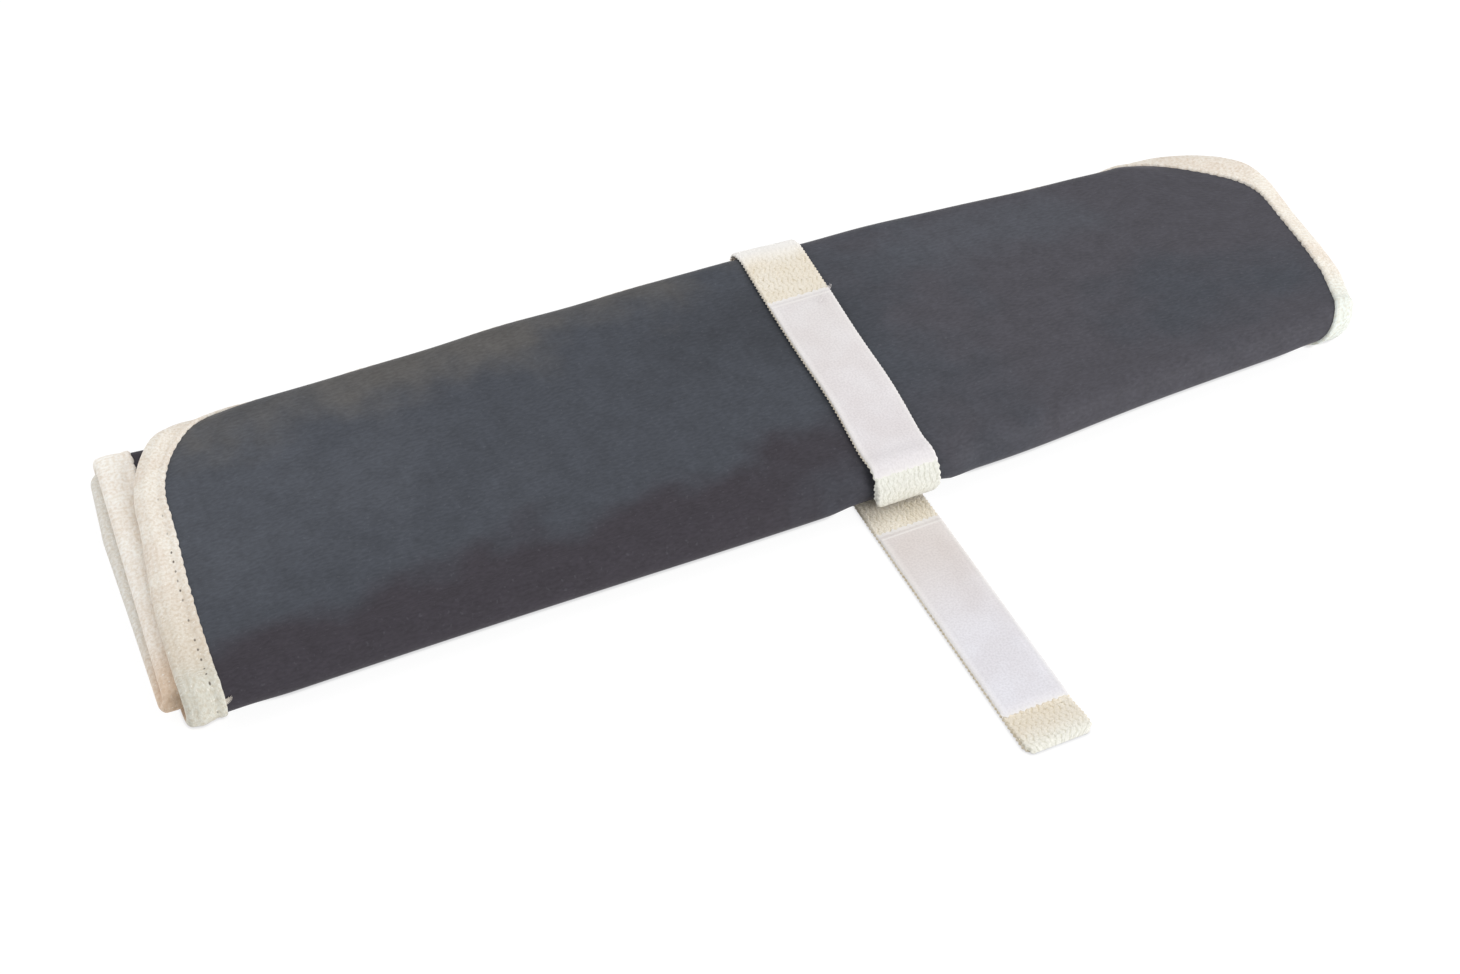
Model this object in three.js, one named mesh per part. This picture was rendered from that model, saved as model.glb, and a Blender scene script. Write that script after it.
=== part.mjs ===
// A flattened knife roll: a bound cloth mat rolled in four layers, with a webbing strap and its patches.
// Millimetres, +X along the roll, +Y to the back, +Z up; the origin is the middle of the flat underside.
import * as THREE from "three";

// Strap
const WEBBING_WIDTH = 25;
const WEBBING_THICKNESS = 1.8;
const PATCH_MARGIN = 0.2; // webbing that shows on each side of a patch
const PATCH_WIDTH = WEBBING_WIDTH - 2 * PATCH_MARGIN;
const PATCH_THICKNESS = 1.4;
const STRAP_X = 34; // middle of the strap at the flap's hinge line
const STRAP_SLANT = 0.045; // the strap leans to the right towards the back
const TAIL_X = 28;
const LOOP_PATCH_BACK = 85; // length of the loop patch behind the flap's hinge line
const LOOP_PATCH_FRONT = 10.6; // length of the loop patch in front of the hinge line
const STRAP_SEAM_ARC = 17; // sewn length of the strap up the flap's lip
const TIP_DROP = 23.2; // length of the strap's end from the hinge line down the front
const TIP_STAND_OFF = 2.3; // gap under the strap's end, which holds its turned-back hem
const TIP_HEM = 8;
const TAIL_HINGE_Y = -76.5;
const TAIL_RISER = 20.5; // from the tail's hinge up to the fold where it lies back over the roll
const TAIL_PATCH_START = 2.1; // from the tail's hinge to the hook patch
const TAIL_PATCH_LENGTH = 95.5;
const TAIL_TAB = 17.2;
const TAIL_HEM = 14.5;

// Cloth
const SHELL = 1.1;
const LINING = 0.7;
const POCKET = 0.7;
const TAPE = 0.75; // thickness of the edge binding
const TAPE_WIDTH = 12.5; // width of the binding on each face
const TAPE_EDGE = 1.5; // how far the binding stands out past the cloth's cut edge
const FLAP_LEFT_CORNER = 60;
const FLAP_RIGHT_CORNER = 51;
const INNER_CORNER = 6;

// Roll
const HINGE_Y = -51; // the straight line where the flap turns at the front
const FRONT_ENDS_Y = -62.4; // front of the roll at its two ends
const FRONT_SLANT = 0.004;
const FRONT_BOW = 3.6; // how far the front bows out over the strap
const FRONT_BOW_X = 20;
const FRONT_BOW_SPREAD = 127;
const FLAP_FRONT_Z = 17.8; // outer face of the flap at the hinge line
const FLAP_BACK_Z = 22.4;
const SECOND_FRONT_Z = 12.9; // outer face of the second layer, under the flap
const SECOND_BACK_Z = 17;
const THIRD_Z = 6; // outer, lower face of the innermost layer
const FLAP_BACK_Y = 61.5; // where the flap starts to turn down at the back
const BACK_FALL = 15.9; // how far the back line runs forward over BACK_FALL_SPAN, to the right of BACK_FALL_X
const BACK_FALL_X = -20;
const BACK_FALL_SPAN = 225;
const BACK_FALL_POWER = 1.44;
const BACK_END_PULL = 13.9; // and further forward at the right end
const BACK_END = [197, 229];
const FLAP_REACH = 3; // how far the flap's back line lies behind the fold of the layers below
const LEFT_REACH = [175, 222]; // distance left of the middle over which this reach ends
const LIP_RADIUS = 10.5;
const LIP_ARC = 14.3; // length of the lip's bend
const LIP_DROP = 10.5; // straight length of the lip below its bend
const SECOND_TURN_Y = 12; // the inner front fold, behind the roll's front
const THIRD_END = -0.8; // the innermost layer's end, in front of the start of the back fold
const END_LIFT = 1.25; // the bound ends rest on their tape, so the cloth is this far up
const END_LIFT_X = [205, 222];
const STRAP_LIFT = 2.3; // the bottom layer rises over the strap that passes under it
const STRAP_LIFT_X = [20, 32];
const LIP_FLATTENING = 0.8; // share of its curve that the lip loses at the right end
const LIP_FLATTENING_X = [184, 231];
const DROOP_RADIUS = 8; // the flap is unsupported at its right margin and hangs
const DROOP_ANGLE = 52;
const FLAP_OVERHANG = 11.7;

// Pockets
const POCKET_LEFT = -215;
const POCKET_MOUTH = 58;
const POCKET_EDGING = 8;
const SEAM_WIDTH = 0.8;
const SEAM_HEIGHT = 0.35;

// Clearances
const GAP = 0.3;
const SPLIT_GAP = 0.3;
const TAPE_GAP = 0.45; // between the binding and the cloth it folds over

// Mesh fineness
const CORNER_STEP = 4;

const STACK = SHELL + GAP + LINING;
const RADIANS = Math.PI / 180;

const MATERIALS = {
  shell: new THREE.MeshStandardMaterial({ color: 0x4b4f57, roughness: 0.75, metalness: 0 }),
  lining: new THREE.MeshStandardMaterial({ color: 0x6a6660, roughness: 0.9, metalness: 0 }),
  tape: new THREE.MeshStandardMaterial({ color: 0xefe6d6, roughness: 0.95, metalness: 0 }),
  webbing: new THREE.MeshStandardMaterial({ color: 0xece2c8, roughness: 0.95, metalness: 0 }),
  patch: new THREE.MeshStandardMaterial({ color: 0xe6e2e5, roughness: 0.85, metalness: 0 }),
  thread: new THREE.MeshStandardMaterial({ color: 0xd8cfbd, roughness: 0.9, metalness: 0 }),
};

function ease(from, to, value) {
  const t = Math.min(1, Math.max(0, (value - from) / (to - from)));
  return t * t * (3 - 2 * t);
}

function mix(a, b, t) {
  return a + (b - a) * t;
}

// A path in the YZ plane made of straight runs and arcs, each tangent to the one before.
class SectionPath {
  constructor(y, z, heading, outward) {
    this.at = { y, z, heading };
    this.outward = outward;
    this.runs = [];
    this.length = 0;
  }

  add(length, curvature) {
    this.runs.push({ ...this.at, start: this.length, length, curvature });
    this.length += length;
    const end = this.locate(this.length);
    this.at = { y: end.y, z: end.z, heading: end.heading };
    return this;
  }

  line(length) {
    return this.add(length, 0);
  }

  lineToY(y) {
    return this.line((y - this.at.y) / Math.cos(this.at.heading));
  }

  arc(radius, turn) {
    return this.add(radius * Math.abs(turn), Math.sign(turn) / radius);
  }

  // Position, heading and outward normal at a distance along the path.
  locate(distance) {
    let run = this.runs[0];
    for (const candidate of this.runs) {
      if (distance >= candidate.start) {
        run = candidate;
      }
    }
    const s = distance - run.start;
    const heading = run.heading + run.curvature * s;
    let y = run.y + s * Math.cos(run.heading);
    let z = run.z + s * Math.sin(run.heading);
    if (run.curvature !== 0) {
      y = run.y + (Math.sin(heading) - Math.sin(run.heading)) / run.curvature;
      z = run.z - (Math.cos(heading) - Math.cos(run.heading)) / run.curvature;
    }
    const side = this.outward;
    return { y, z, heading, ny: -side * Math.sin(heading), nz: side * Math.cos(heading) };
  }

  // The distance on this path that lies at the same share of the same run as a distance on another path.
  match(other, distance) {
    let i = 0;
    while (i < other.runs.length - 1 && distance > other.runs[i + 1].start) {
      i++;
    }
    const share = (distance - other.runs[i].start) / other.runs[i].length;
    return this.runs[i].start + share * this.runs[i].length;
  }

  // Distances that sample straight runs coarsely and arcs finely.
  stations(straightStep, arcStep) {
    const list = [0];
    for (const run of this.runs) {
      const step = run.curvature === 0 ? straightStep : arcStep;
      const count = Math.max(1, Math.ceil(run.length / step));
      for (let i = 1; i <= count; i++) {
        list.push(run.start + (run.length * i) / count);
      }
    }
    return list;
  }
}

function frontY(x) {
  const t = (x - FRONT_BOW_X) / FRONT_BOW_SPREAD;
  return FRONT_ENDS_Y + FRONT_SLANT * x - FRONT_BOW * Math.exp(-t * t);
}

function backY(x) {
  const share = Math.max(0, (x - BACK_FALL_X) / BACK_FALL_SPAN);
  const fall = BACK_FALL * share ** BACK_FALL_POWER + BACK_END_PULL * ease(...BACK_END, x);
  return FLAP_BACK_Y - FLAP_REACH - fall;
}

function flapBackY(x) {
  return backY(x) + FLAP_REACH * (1 - ease(...LEFT_REACH, -x));
}

function undersideZ(x) {
  const ends = END_LIFT * ease(...END_LIFT_X, Math.abs(x));
  const overStrap = STRAP_LIFT * (1 - ease(...STRAP_LIFT_X, Math.abs(x - STRAP_X)));
  return Math.max(ends, overStrap);
}

function flapSlope(x) {
  return Math.atan2(FLAP_BACK_Z - FLAP_FRONT_Z, flapBackY(x) - HINGE_Y);
}

// Outer face of the flap, from the hinge line to its free edge; the lip flattens towards the right end.
function flapSection(x) {
  const slope = flapSlope(x);
  const path = new SectionPath(HINGE_Y, FLAP_FRONT_Z, slope, 1);
  path.lineToY(flapBackY(x));
  const radius = LIP_RADIUS / (1 - LIP_FLATTENING * ease(...LIP_FLATTENING_X, x));
  return path.arc(radius, -LIP_ARC / radius).line(LIP_DROP);
}

// Outer face of the rest of the mat: front fold, bottom, back fold, second layer, inner fold, third layer.
function turnsSection(x) {
  const slope = flapSlope(x);
  const low = undersideZ(x);
  const path = new SectionPath(HINGE_Y, FLAP_FRONT_Z, Math.PI + slope, -1);
  const reach = HINGE_Y - frontY(x);
  const half = (FLAP_FRONT_Z - low) / 2;
  const front = (half - (reach * Math.tan(slope)) / 2) / (1 - Math.tan(slope) / 2);
  path.line((reach - front) / Math.cos(slope));
  path.arc((path.at.z - low) / (1 + Math.cos(slope)), Math.PI - slope);
  path.lineToY(backY(x));
  const fall = Math.atan2(SECOND_BACK_Z - SECOND_FRONT_Z, backY(x) - frontY(x) - SECOND_TURN_Y);
  path.arc((SECOND_BACK_Z - low) / (1 + Math.cos(fall)), Math.PI + fall);
  path.lineToY(frontY(x) + SECOND_TURN_Y);
  path.arc((path.at.z - THIRD_Z) / (1 + Math.cos(fall)), Math.PI - fall);
  return path.lineToY(backY(x) - THIRD_END);
}

// The bend of the unsupported right margin: how far along X, how far inwards, and at what angle.
function droop(x, start, share) {
  const over = Math.max(0, x - start);
  const limit = DROOP_ANGLE * RADIANS;
  const angle = Math.min(over / DROOP_RADIUS, limit);
  const rest = over - angle * DROOP_RADIUS;
  const across = DROOP_RADIUS * Math.sin(angle) + rest * Math.cos(angle);
  const inwards = DROOP_RADIUS * (1 - Math.cos(angle)) + rest * Math.sin(angle);
  return { x: x + share * (across - over), inwards: share * inwards, angle: share * angle };
}

// A point on the cloth: X and distance along the section on the flat mat, and height above its outer face.
function onCloth(section, hang, x, distance, height) {
  const path = section(x);
  const at = path.locate(path.match(section(STRAP_X), distance));
  const bend = droop(x, ...hang(distance));
  const lift = height * Math.cos(bend.angle) - bend.inwards;
  return new THREE.Vector3(
    bend.x + height * Math.sin(bend.angle),
    at.y + lift * at.ny,
    at.z + lift * at.nz,
  );
}

// A value that changes in straight steps along the cloth, from a list of [distance, value] marks.
function along(marks, distance) {
  let i = 0;
  while (i < marks.length - 2 && distance > marks[i + 1][0]) {
    i++;
  }
  const [from, low] = marks[i];
  const [to, high] = marks[i + 1];
  return mix(low, high, Math.min(1, Math.max(0, (distance - from) / (to - from))));
}

const FLAP_LENGTH = flapSection(STRAP_X).length;
const TURNS_RUNS = turnsSection(STRAP_X).runs;
const TURNS_LENGTH = turnsSection(STRAP_X).length;
const TURNS_STARTS = TURNS_RUNS.map((run) => run.start);
const [, FOLD_RUN, BOTTOM_RUN, BACK_RUN, SECOND_RUN, INNER_FOLD_RUN, THIRD_RUN] = TURNS_STARTS;

// Cut edges of the flap: it lies askew on the roll, and its right margin overhangs the layers below
const FLAP_LEFT = [[0, -241], [20, -240], [40, -238.5], [65, -235.8], [80, -234.5], [FLAP_LENGTH, -228.5]];
const FLAP_RIGHT = [[0, 248.1], [20, 252.4], [40, 253.6], [FLAP_LENGTH, 257]];
const FLAP_SUPPORT = FLAP_RIGHT.map(([distance, x]) => [distance, x - FLAP_OVERHANG]);

// Cut edges of the layers below, which were rolled a little to the left of the flap
const TURNS_LEFT = [
  [0, -241],
  [BOTTOM_RUN, -241.5],
  [BACK_RUN, -239.5],
  [SECOND_RUN, -239.5],
  [INNER_FOLD_RUN, -246.5],
  [THIRD_RUN, -248.5],
  [TURNS_LENGTH, -242.5],
];
const TURNS_RIGHT = [
  [0, 248.1],
  [FOLD_RUN, 247.2],
  [BOTTOM_RUN, 232.5],
  [BACK_RUN, 237],
  [SECOND_RUN, 237],
  [INNER_FOLD_RUN, 231],
  [THIRD_RUN, 231],
  [TURNS_LENGTH, 236],
];
const FRONT_SUPPORT = [[0, 236.4], [FOLD_RUN, 235.2], [BOTTOM_RUN, 220]];

const flapHang = (distance) => [along(FLAP_SUPPORT, distance), 1];
const turnsHang = (distance) => [along(FRONT_SUPPORT, distance), 1 - ease(0, BOTTOM_RUN, distance)];

const flap = (x, distance, height) => onCloth(flapSection, flapHang, x, distance, height);
const turns = (x, distance, height) => onCloth(turnsSection, turnsHang, x, distance, height);

const flapEdges = (distance) => [along(FLAP_LEFT, distance), along(FLAP_RIGHT, distance)];
const turnsEdges = (distance) => [along(TURNS_LEFT, distance), along(TURNS_RIGHT, distance)];

// How far a rounded corner cuts in from the side at a distance from the free end.
function cornerInset(radius, toEnd) {
  if (toEnd >= radius) {
    return 0;
  }
  const rise = radius - Math.max(0, toEnd);
  return radius - Math.sqrt(Math.max(0, radius * radius - rise * rise));
}

function meshOf(name, material, positions, indices) {
  const geometry = new THREE.BufferGeometry();
  geometry.setAttribute("position", new THREE.Float32BufferAttribute(positions, 3));
  geometry.setIndex(indices);
  geometry.computeVertexNormals();
  const mesh = new THREE.Mesh(geometry, material);
  mesh.name = name;
  return mesh;
}

// A closed solid between two grids of points that share the same rows and columns.
function slab(name, material, upper, lower) {
  const rows = upper.length;
  const columns = upper[0].length;
  const positions = [];
  const indices = [];
  for (const grid of [upper, lower]) {
    for (const row of grid) {
      for (const point of row) {
        positions.push(point.x, point.y, point.z);
      }
    }
  }
  const top = (r, c) => r * columns + c;
  const bottom = (r, c) => rows * columns + r * columns + c;
  const quad = (a, b, c, d) => indices.push(a, b, c, a, c, d);
  for (let r = 0; r < rows - 1; r++) {
    for (let c = 0; c < columns - 1; c++) {
      quad(top(r, c), top(r, c + 1), top(r + 1, c + 1), top(r + 1, c));
      quad(bottom(r, c), bottom(r + 1, c), bottom(r + 1, c + 1), bottom(r, c + 1));
    }
    const last = columns - 1;
    quad(top(r, 0), top(r + 1, 0), bottom(r + 1, 0), bottom(r, 0));
    quad(top(r, last), bottom(r, last), bottom(r + 1, last), top(r + 1, last));
  }
  for (let c = 0; c < columns - 1; c++) {
    const last = rows - 1;
    quad(top(0, c), bottom(0, c), bottom(0, c + 1), top(0, c + 1));
    quad(top(last, c), top(last, c + 1), bottom(last, c + 1), bottom(last, c));
  }
  return meshOf(name, material, positions, indices);
}

// The same solid with its faces turned round, for surfaces whose rows run the other way.
function turned(mesh) {
  const index = mesh.geometry.index.array;
  for (let i = 0; i < index.length; i += 3) {
    [index[i + 1], index[i + 2]] = [index[i + 2], index[i + 1]];
  }
  mesh.geometry.computeVertexNormals();
  return mesh;
}

// A closed solid swept through rings of points, capped at both ends.
function sweep(name, material, rings, profile) {
  const count = profile.length;
  const positions = rings.flat().flatMap((point) => [point.x, point.y, point.z]);
  const indices = [];
  for (let r = 0; r < rings.length - 1; r++) {
    for (let i = 0; i < count; i++) {
      const a = r * count + i;
      const b = r * count + ((i + 1) % count);
      indices.push(a, b, b + count, a, b + count, a + count);
    }
  }
  const last = (rings.length - 1) * count;
  for (const [a, b, c] of THREE.ShapeUtils.triangulateShape(profile, [])) {
    indices.push(a, c, b, last + a, last + b, last + c);
  }
  return meshOf(name, material, positions, indices);
}

const X_STATIONS = [
  -222, -205, -100, -20, 2, 8, 14, 34, 54, 60, 66, 105, 145, 168, 187, 195, 200, 205, 209, 213.5, 220, 224, 228,
  231, 234, 237, 240, 243,
];
const FLAP_STATIONS = [
  -204, -192, -183, -174.5, -165, -155, -100, -20, 34, 70, 105, 145, 160, 171, 181, 187, 191, 195, 199, 203, 207,
  211, 215, 220, 225, 229, 233.5, 236, 239, 242, 245, 248, 251.5,
];

// A layer of cloth between two heights, from edge to edge.
function cloth(name, material, surface, rows, edges, stations, high, low) {
  const columnsAt = (distance) => {
    const [left, right] = edges(distance);
    const inner = stations.map((x, i) => mix(left, right, (i + 1) / (stations.length + 1)));
    const fit = stations.map((x, i) => (x > left + 4 && x < right - 2 ? x : inner[i]));
    fit.sort((a, b) => a - b);
    return [left, ...fit, right];
  };
  const grid = (height) => rows.map((s) => columnsAt(s).map((x) => surface(x, s, height)));
  return slab(name, material, grid(high), grid(low));
}

// The folded tape over a cut edge, as a U-shaped profile: distance in from the edge, height above the cloth.
function tapeProfile(divisions) {
  const over = TAPE_GAP + TAPE;
  const under = -STACK - over;
  const middle = -STACK / 2;
  const inwards = steps(0, TAPE_WIDTH, divisions);
  const outwards = [...inwards].reverse();
  return [
    ...outwards.map((w) => [w, over]),
    [-TAPE_EDGE * 0.7, over * 0.55],
    [-TAPE_EDGE, middle],
    [-TAPE_EDGE * 0.7, -STACK - over * 0.55],
    ...inwards.map((w) => [w, under]),
    ...outwards.map((w) => [w, -STACK - TAPE_GAP]),
    [-TAPE_EDGE * 0.35, middle],
    ...inwards.map((w) => [w, TAPE_GAP]),
  ].map(([w, h]) => new THREE.Vector2(w, h));
}

// Binding tape round a mat: up the left edge, round the far end and its two corners, down the right edge.
function boundEdge(name, surface, rows, edges, length, [leftRadius, rightRadius], stations, divisions) {
  const path = [];
  const below = (radius) => rows.filter((s) => s < length - radius - 0.5);
  for (const s of below(leftRadius)) {
    path.push({ x: edges(s)[0], s, wx: 1, ws: 0 });
  }
  const farLeft = edges(length - leftRadius)[0] + leftRadius;
  const farRight = edges(length - rightRadius)[1] - rightRadius;
  const turn = (cx, radius, from) => {
    const count = Math.max(6, Math.ceil((radius * Math.PI) / 2 / CORNER_STEP));
    for (let i = 0; i <= count; i++) {
      const a = from - (i * Math.PI) / 2 / count;
      const c = Math.cos(a);
      const d = Math.sin(a);
      path.push({ x: cx + radius * c, s: length - radius + radius * d, wx: -c, ws: -d });
    }
  };
  turn(farLeft, leftRadius, Math.PI);
  for (const x of stations.filter((x) => x > farLeft + 2 && x < farRight - 2)) {
    path.push({ x, s: length, wx: 0, ws: -1 });
  }
  turn(farRight, rightRadius, Math.PI / 2);
  for (const s of below(rightRadius).reverse()) {
    path.push({ x: edges(s)[1], s, wx: -1, ws: 0 });
  }
  const profile = tapeProfile(divisions);
  const rings = path.map((at) =>
    profile.map((p) => surface(at.x + at.wx * p.x, at.s + at.ws * p.x, p.y)),
  );
  return sweep(name, MATERIALS.tape, rings, profile);
}

// A ribbon of webbing or patch laid along a surface, between two heights that may change along it.
function ribbon(name, material, surface, x, width, stations, high, low) {
  const shares = [-0.5, 0, 0.5];
  const row = (s, height) => shares.map((share) => surface(x + share * width, s, height(s)));
  return slab(name, material, stations.map((s) => row(s, high)), stations.map((s) => row(s, low)));
}

// The flap's surface with its X leaning as the strap does.
const strapBed = (x, distance, height) => flap(x + STRAP_SLANT * distance, distance, height);

function steps(from, to, count) {
  return Array.from({ length: count + 1 }, (unused, i) => mix(from, to, i / count));
}

const group = new THREE.Group();
group.name = "knife_roll";

// The flap
const flapRows = [SPLIT_GAP, 6, 13, 20, 26, 33, 40, 52, 64];
flapRows.push(...steps(FLAP_LENGTH - FLAP_RIGHT_CORNER, FLAP_LENGTH - 1.4, 18));
flapRows.push(FLAP_LENGTH - 0.4, FLAP_LENGTH);
const flapCut = (distance) => {
  const left = flapEdges(Math.min(distance, FLAP_LENGTH - FLAP_LEFT_CORNER))[0];
  const right = flapEdges(Math.min(distance, FLAP_LENGTH - FLAP_RIGHT_CORNER))[1];
  const toEnd = FLAP_LENGTH - distance;
  return [left + cornerInset(FLAP_LEFT_CORNER, toEnd), right - cornerInset(FLAP_RIGHT_CORNER, toEnd)];
};
const flapCorners = [FLAP_LEFT_CORNER, FLAP_RIGHT_CORNER];
group.add(
  cloth("flap_shell", MATERIALS.shell, flap, flapRows, flapCut, FLAP_STATIONS, 0, -SHELL),
  cloth("flap_lining", MATERIALS.lining, flap, flapRows, flapCut, FLAP_STATIONS, -SHELL - GAP, -STACK),
  turned(boundEdge("flap_binding", flap, flapRows, flapEdges, FLAP_LENGTH, flapCorners, FLAP_STATIONS, 3)),
);

// The rolled layers
const turnsRows = turnsSection(STRAP_X)
  .stations(40, 4.2)
  .filter((s) => s < TURNS_LENGTH - INNER_CORNER);
turnsRows[0] = SPLIT_GAP;
for (const share of [0, 0.3, 0.55, 0.77, 0.92, 1]) {
  turnsRows.push(TURNS_LENGTH - INNER_CORNER * (1 - share));
}
const turnsCut = (distance) => {
  const [left, right] = turnsEdges(Math.min(distance, TURNS_LENGTH - INNER_CORNER));
  const inset = cornerInset(INNER_CORNER, TURNS_LENGTH - distance);
  return [left + inset, right - inset];
};
const innerCorners = [INNER_CORNER, INNER_CORNER];
const liningHigh = -SHELL - GAP;
group.add(
  turned(cloth("turns_shell", MATERIALS.shell, turns, turnsRows, turnsCut, X_STATIONS, 0, -SHELL)),
  turned(cloth("turns_lining", MATERIALS.lining, turns, turnsRows, turnsCut, X_STATIONS, liningHigh, -STACK)),
  boundEdge("turns_binding", turns, turnsRows, turnsEdges, TURNS_LENGTH, innerCorners, X_STATIONS, 3),
);

// The knife pockets, on the second and third layers
const pocketStart = SECOND_RUN + 8;
const pocketEnd = TURNS_LENGTH - TAPE_WIDTH - 6;
const pocketInner = turnsRows.filter((s) => s > pocketStart + 2 && s < pocketEnd - 2);
const pocketRows = [pocketStart, ...pocketInner, pocketEnd];
const pocketTop = -STACK - GAP;
const pocketFace = pocketTop - POCKET;
const pocketSpan = (from, to) => () => [from, to];
const pocketStations = X_STATIONS.filter((x) => x > POCKET_LEFT + 4 && x < POCKET_MOUTH - 2);
group.add(
  turned(
    cloth(
      "pocket_panel",
      MATERIALS.lining,
      turns,
      pocketRows,
      pocketSpan(POCKET_LEFT, POCKET_MOUTH),
      pocketStations,
      pocketTop,
      pocketFace,
    ),
  ),
  turned(
    cloth(
      "pocket_mouth_edging",
      MATERIALS.tape,
      turns,
      pocketRows,
      pocketSpan(POCKET_MOUTH + GAP, POCKET_MOUTH + POCKET_EDGING),
      [],
      pocketTop,
      pocketFace,
    ),
  ),
);
const seamPlaces = [
  SECOND_RUN + 34,
  SECOND_RUN + 66,
  THIRD_RUN + 36,
  THIRD_RUN + 64,
];
seamPlaces.forEach((place, i) => {
  const seam = cloth(
    "slot_seam_" + (i + 1),
    MATERIALS.thread,
    turns,
    [place - SEAM_WIDTH / 2, place + SEAM_WIDTH / 2],
    pocketSpan(POCKET_LEFT + 3, POCKET_MOUTH - 2),
    pocketStations,
    pocketFace - GAP,
    pocketFace - GAP - SEAM_HEIGHT,
  );
  group.add(turned(seam));
});

// The strap over the flap: it clears the bound edge on the lip and lies close to the shell elsewhere
const lipEnd = FLAP_LENGTH + TAPE_EDGE;
const seamLine = lipEnd - STRAP_SEAM_ARC;
const tapeStart = FLAP_LENGTH - TAPE_WIDTH;
const strapLow = (s) => GAP + (TAPE_GAP + TAPE) * ease(tapeStart - 9, tapeStart - 1, s);
const strapHigh = (s) => strapLow(s) + WEBBING_THICKNESS;
const patchLow = (s) => strapHigh(s) + GAP;
const patchHigh = (s) => patchLow(s) + PATCH_THICKNESS;
const seamStations = steps(seamLine + SPLIT_GAP / 2, lipEnd - 0.2, 6);
const upperStations = [
  ...steps(SPLIT_GAP, 92, 6),
  ...steps(FLAP_LENGTH - LIP_ARC - LIP_DROP - 4, seamLine - SPLIT_GAP / 2, 8),
];
const strapLength = (name, stations) =>
  ribbon(name, MATERIALS.webbing, strapBed, STRAP_X, WEBBING_WIDTH, stations, strapHigh, strapLow);
group.add(
  strapLength("strap_anchor", seamStations),
  strapLength("strap_upper", upperStations),
  ribbon(
    "loop_patch",
    MATERIALS.patch,
    strapBed,
    STRAP_X,
    PATCH_WIDTH,
    steps(SPLIT_GAP, LOOP_PATCH_BACK, 6),
    patchHigh,
    patchLow,
  ),
);

// The strap's end over the front of the roll, with its turned-back hem
const tipLow = (s) => GAP + TIP_STAND_OFF * ease(3, TIP_DROP - TIP_HEM, s);
const tipHigh = (s) => tipLow(s) + WEBBING_THICKNESS;
const tipStations = steps(SPLIT_GAP, TIP_DROP, 12);
const tipPatchLow = (s) => tipHigh(s) + GAP;
const tipPatchHigh = (s) => tipPatchLow(s) + PATCH_THICKNESS;
const hemHigh = (s) => tipLow(s) - GAP;
const hemLow = () => GAP;
group.add(
  turned(ribbon("strap_tip", MATERIALS.webbing, turns, STRAP_X, WEBBING_WIDTH, tipStations, tipHigh, tipLow)),
  turned(
    ribbon(
      "loop_patch_front",
      MATERIALS.patch,
      turns,
      STRAP_X,
      PATCH_WIDTH,
      steps(SPLIT_GAP, LOOP_PATCH_FRONT, 6),
      tipPatchHigh,
      tipPatchLow,
    ),
  ),
  turned(
    ribbon(
      "strap_tip_hem",
      MATERIALS.webbing,
      turns,
      STRAP_X,
      WEBBING_WIDTH - 1,
      steps(TIP_DROP - TIP_HEM, TIP_DROP - 0.2, 5),
      hemHigh,
      hemLow,
    ),
  ),
);

// The strap under the roll and its tail; X shifts from the tail's line to the strap's line at the back
const FLOOR_GAP = 0.2;
const STRAP_BACK_X = STRAP_X + STRAP_SLANT * FLAP_LENGTH;
const underBack = backY(STRAP_BACK_X);
function table(x, y, height) {
  const slant = (STRAP_BACK_X - TAIL_X) * ease(frontY(TAIL_X), underBack, y);
  return new THREE.Vector3(x + slant, y, height);
}
const webLow = () => FLOOR_GAP;
const webHigh = () => FLOOR_GAP + WEBBING_THICKNESS;
const hookLow = () => webHigh() + GAP;
const hookHigh = () => hookLow() + PATCH_THICKNESS;
const foldY = TAIL_HINGE_Y - TAIL_RISER;
const patchStartY = TAIL_HINGE_Y - TAIL_PATCH_START;
const patchEndY = patchStartY - TAIL_PATCH_LENGTH;
const tipY = patchEndY - TAIL_TAB;
const runs = {
  strap_under_run: [TAIL_HINGE_Y + SPLIT_GAP / 2, underBack, 10],
  tail_root: [foldY + SPLIT_GAP / 2, TAIL_HINGE_Y - SPLIT_GAP / 2, 2],
  tail_end: [patchEndY + SPLIT_GAP / 2, foldY - SPLIT_GAP / 2, 4],
  tail_tab: [tipY, patchEndY - SPLIT_GAP / 2, 2],
};
for (const [name, [from, to, count]] of Object.entries(runs)) {
  const stations = steps(from, to, count);
  group.add(ribbon(name, MATERIALS.webbing, table, TAIL_X, WEBBING_WIDTH, stations, webHigh, webLow));
}
const patches = {
  hook_patch_root: [foldY + SPLIT_GAP / 2, patchStartY],
  hook_patch_end: [patchEndY + SPLIT_GAP / 2, foldY - SPLIT_GAP / 2],
};
for (const [name, [from, to]] of Object.entries(patches)) {
  group.add(ribbon(name, MATERIALS.patch, table, TAIL_X, PATCH_WIDTH, steps(from, to, 2), hookHigh, hookLow));
}
group.add(
  ribbon(
    "tail_tab_hem",
    MATERIALS.webbing,
    table,
    TAIL_X,
    WEBBING_WIDTH + 0.8,
    steps(tipY, tipY + TAIL_HEM, 2),
    () => hookLow() + WEBBING_THICKNESS,
    hookLow,
  ),
);

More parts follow.
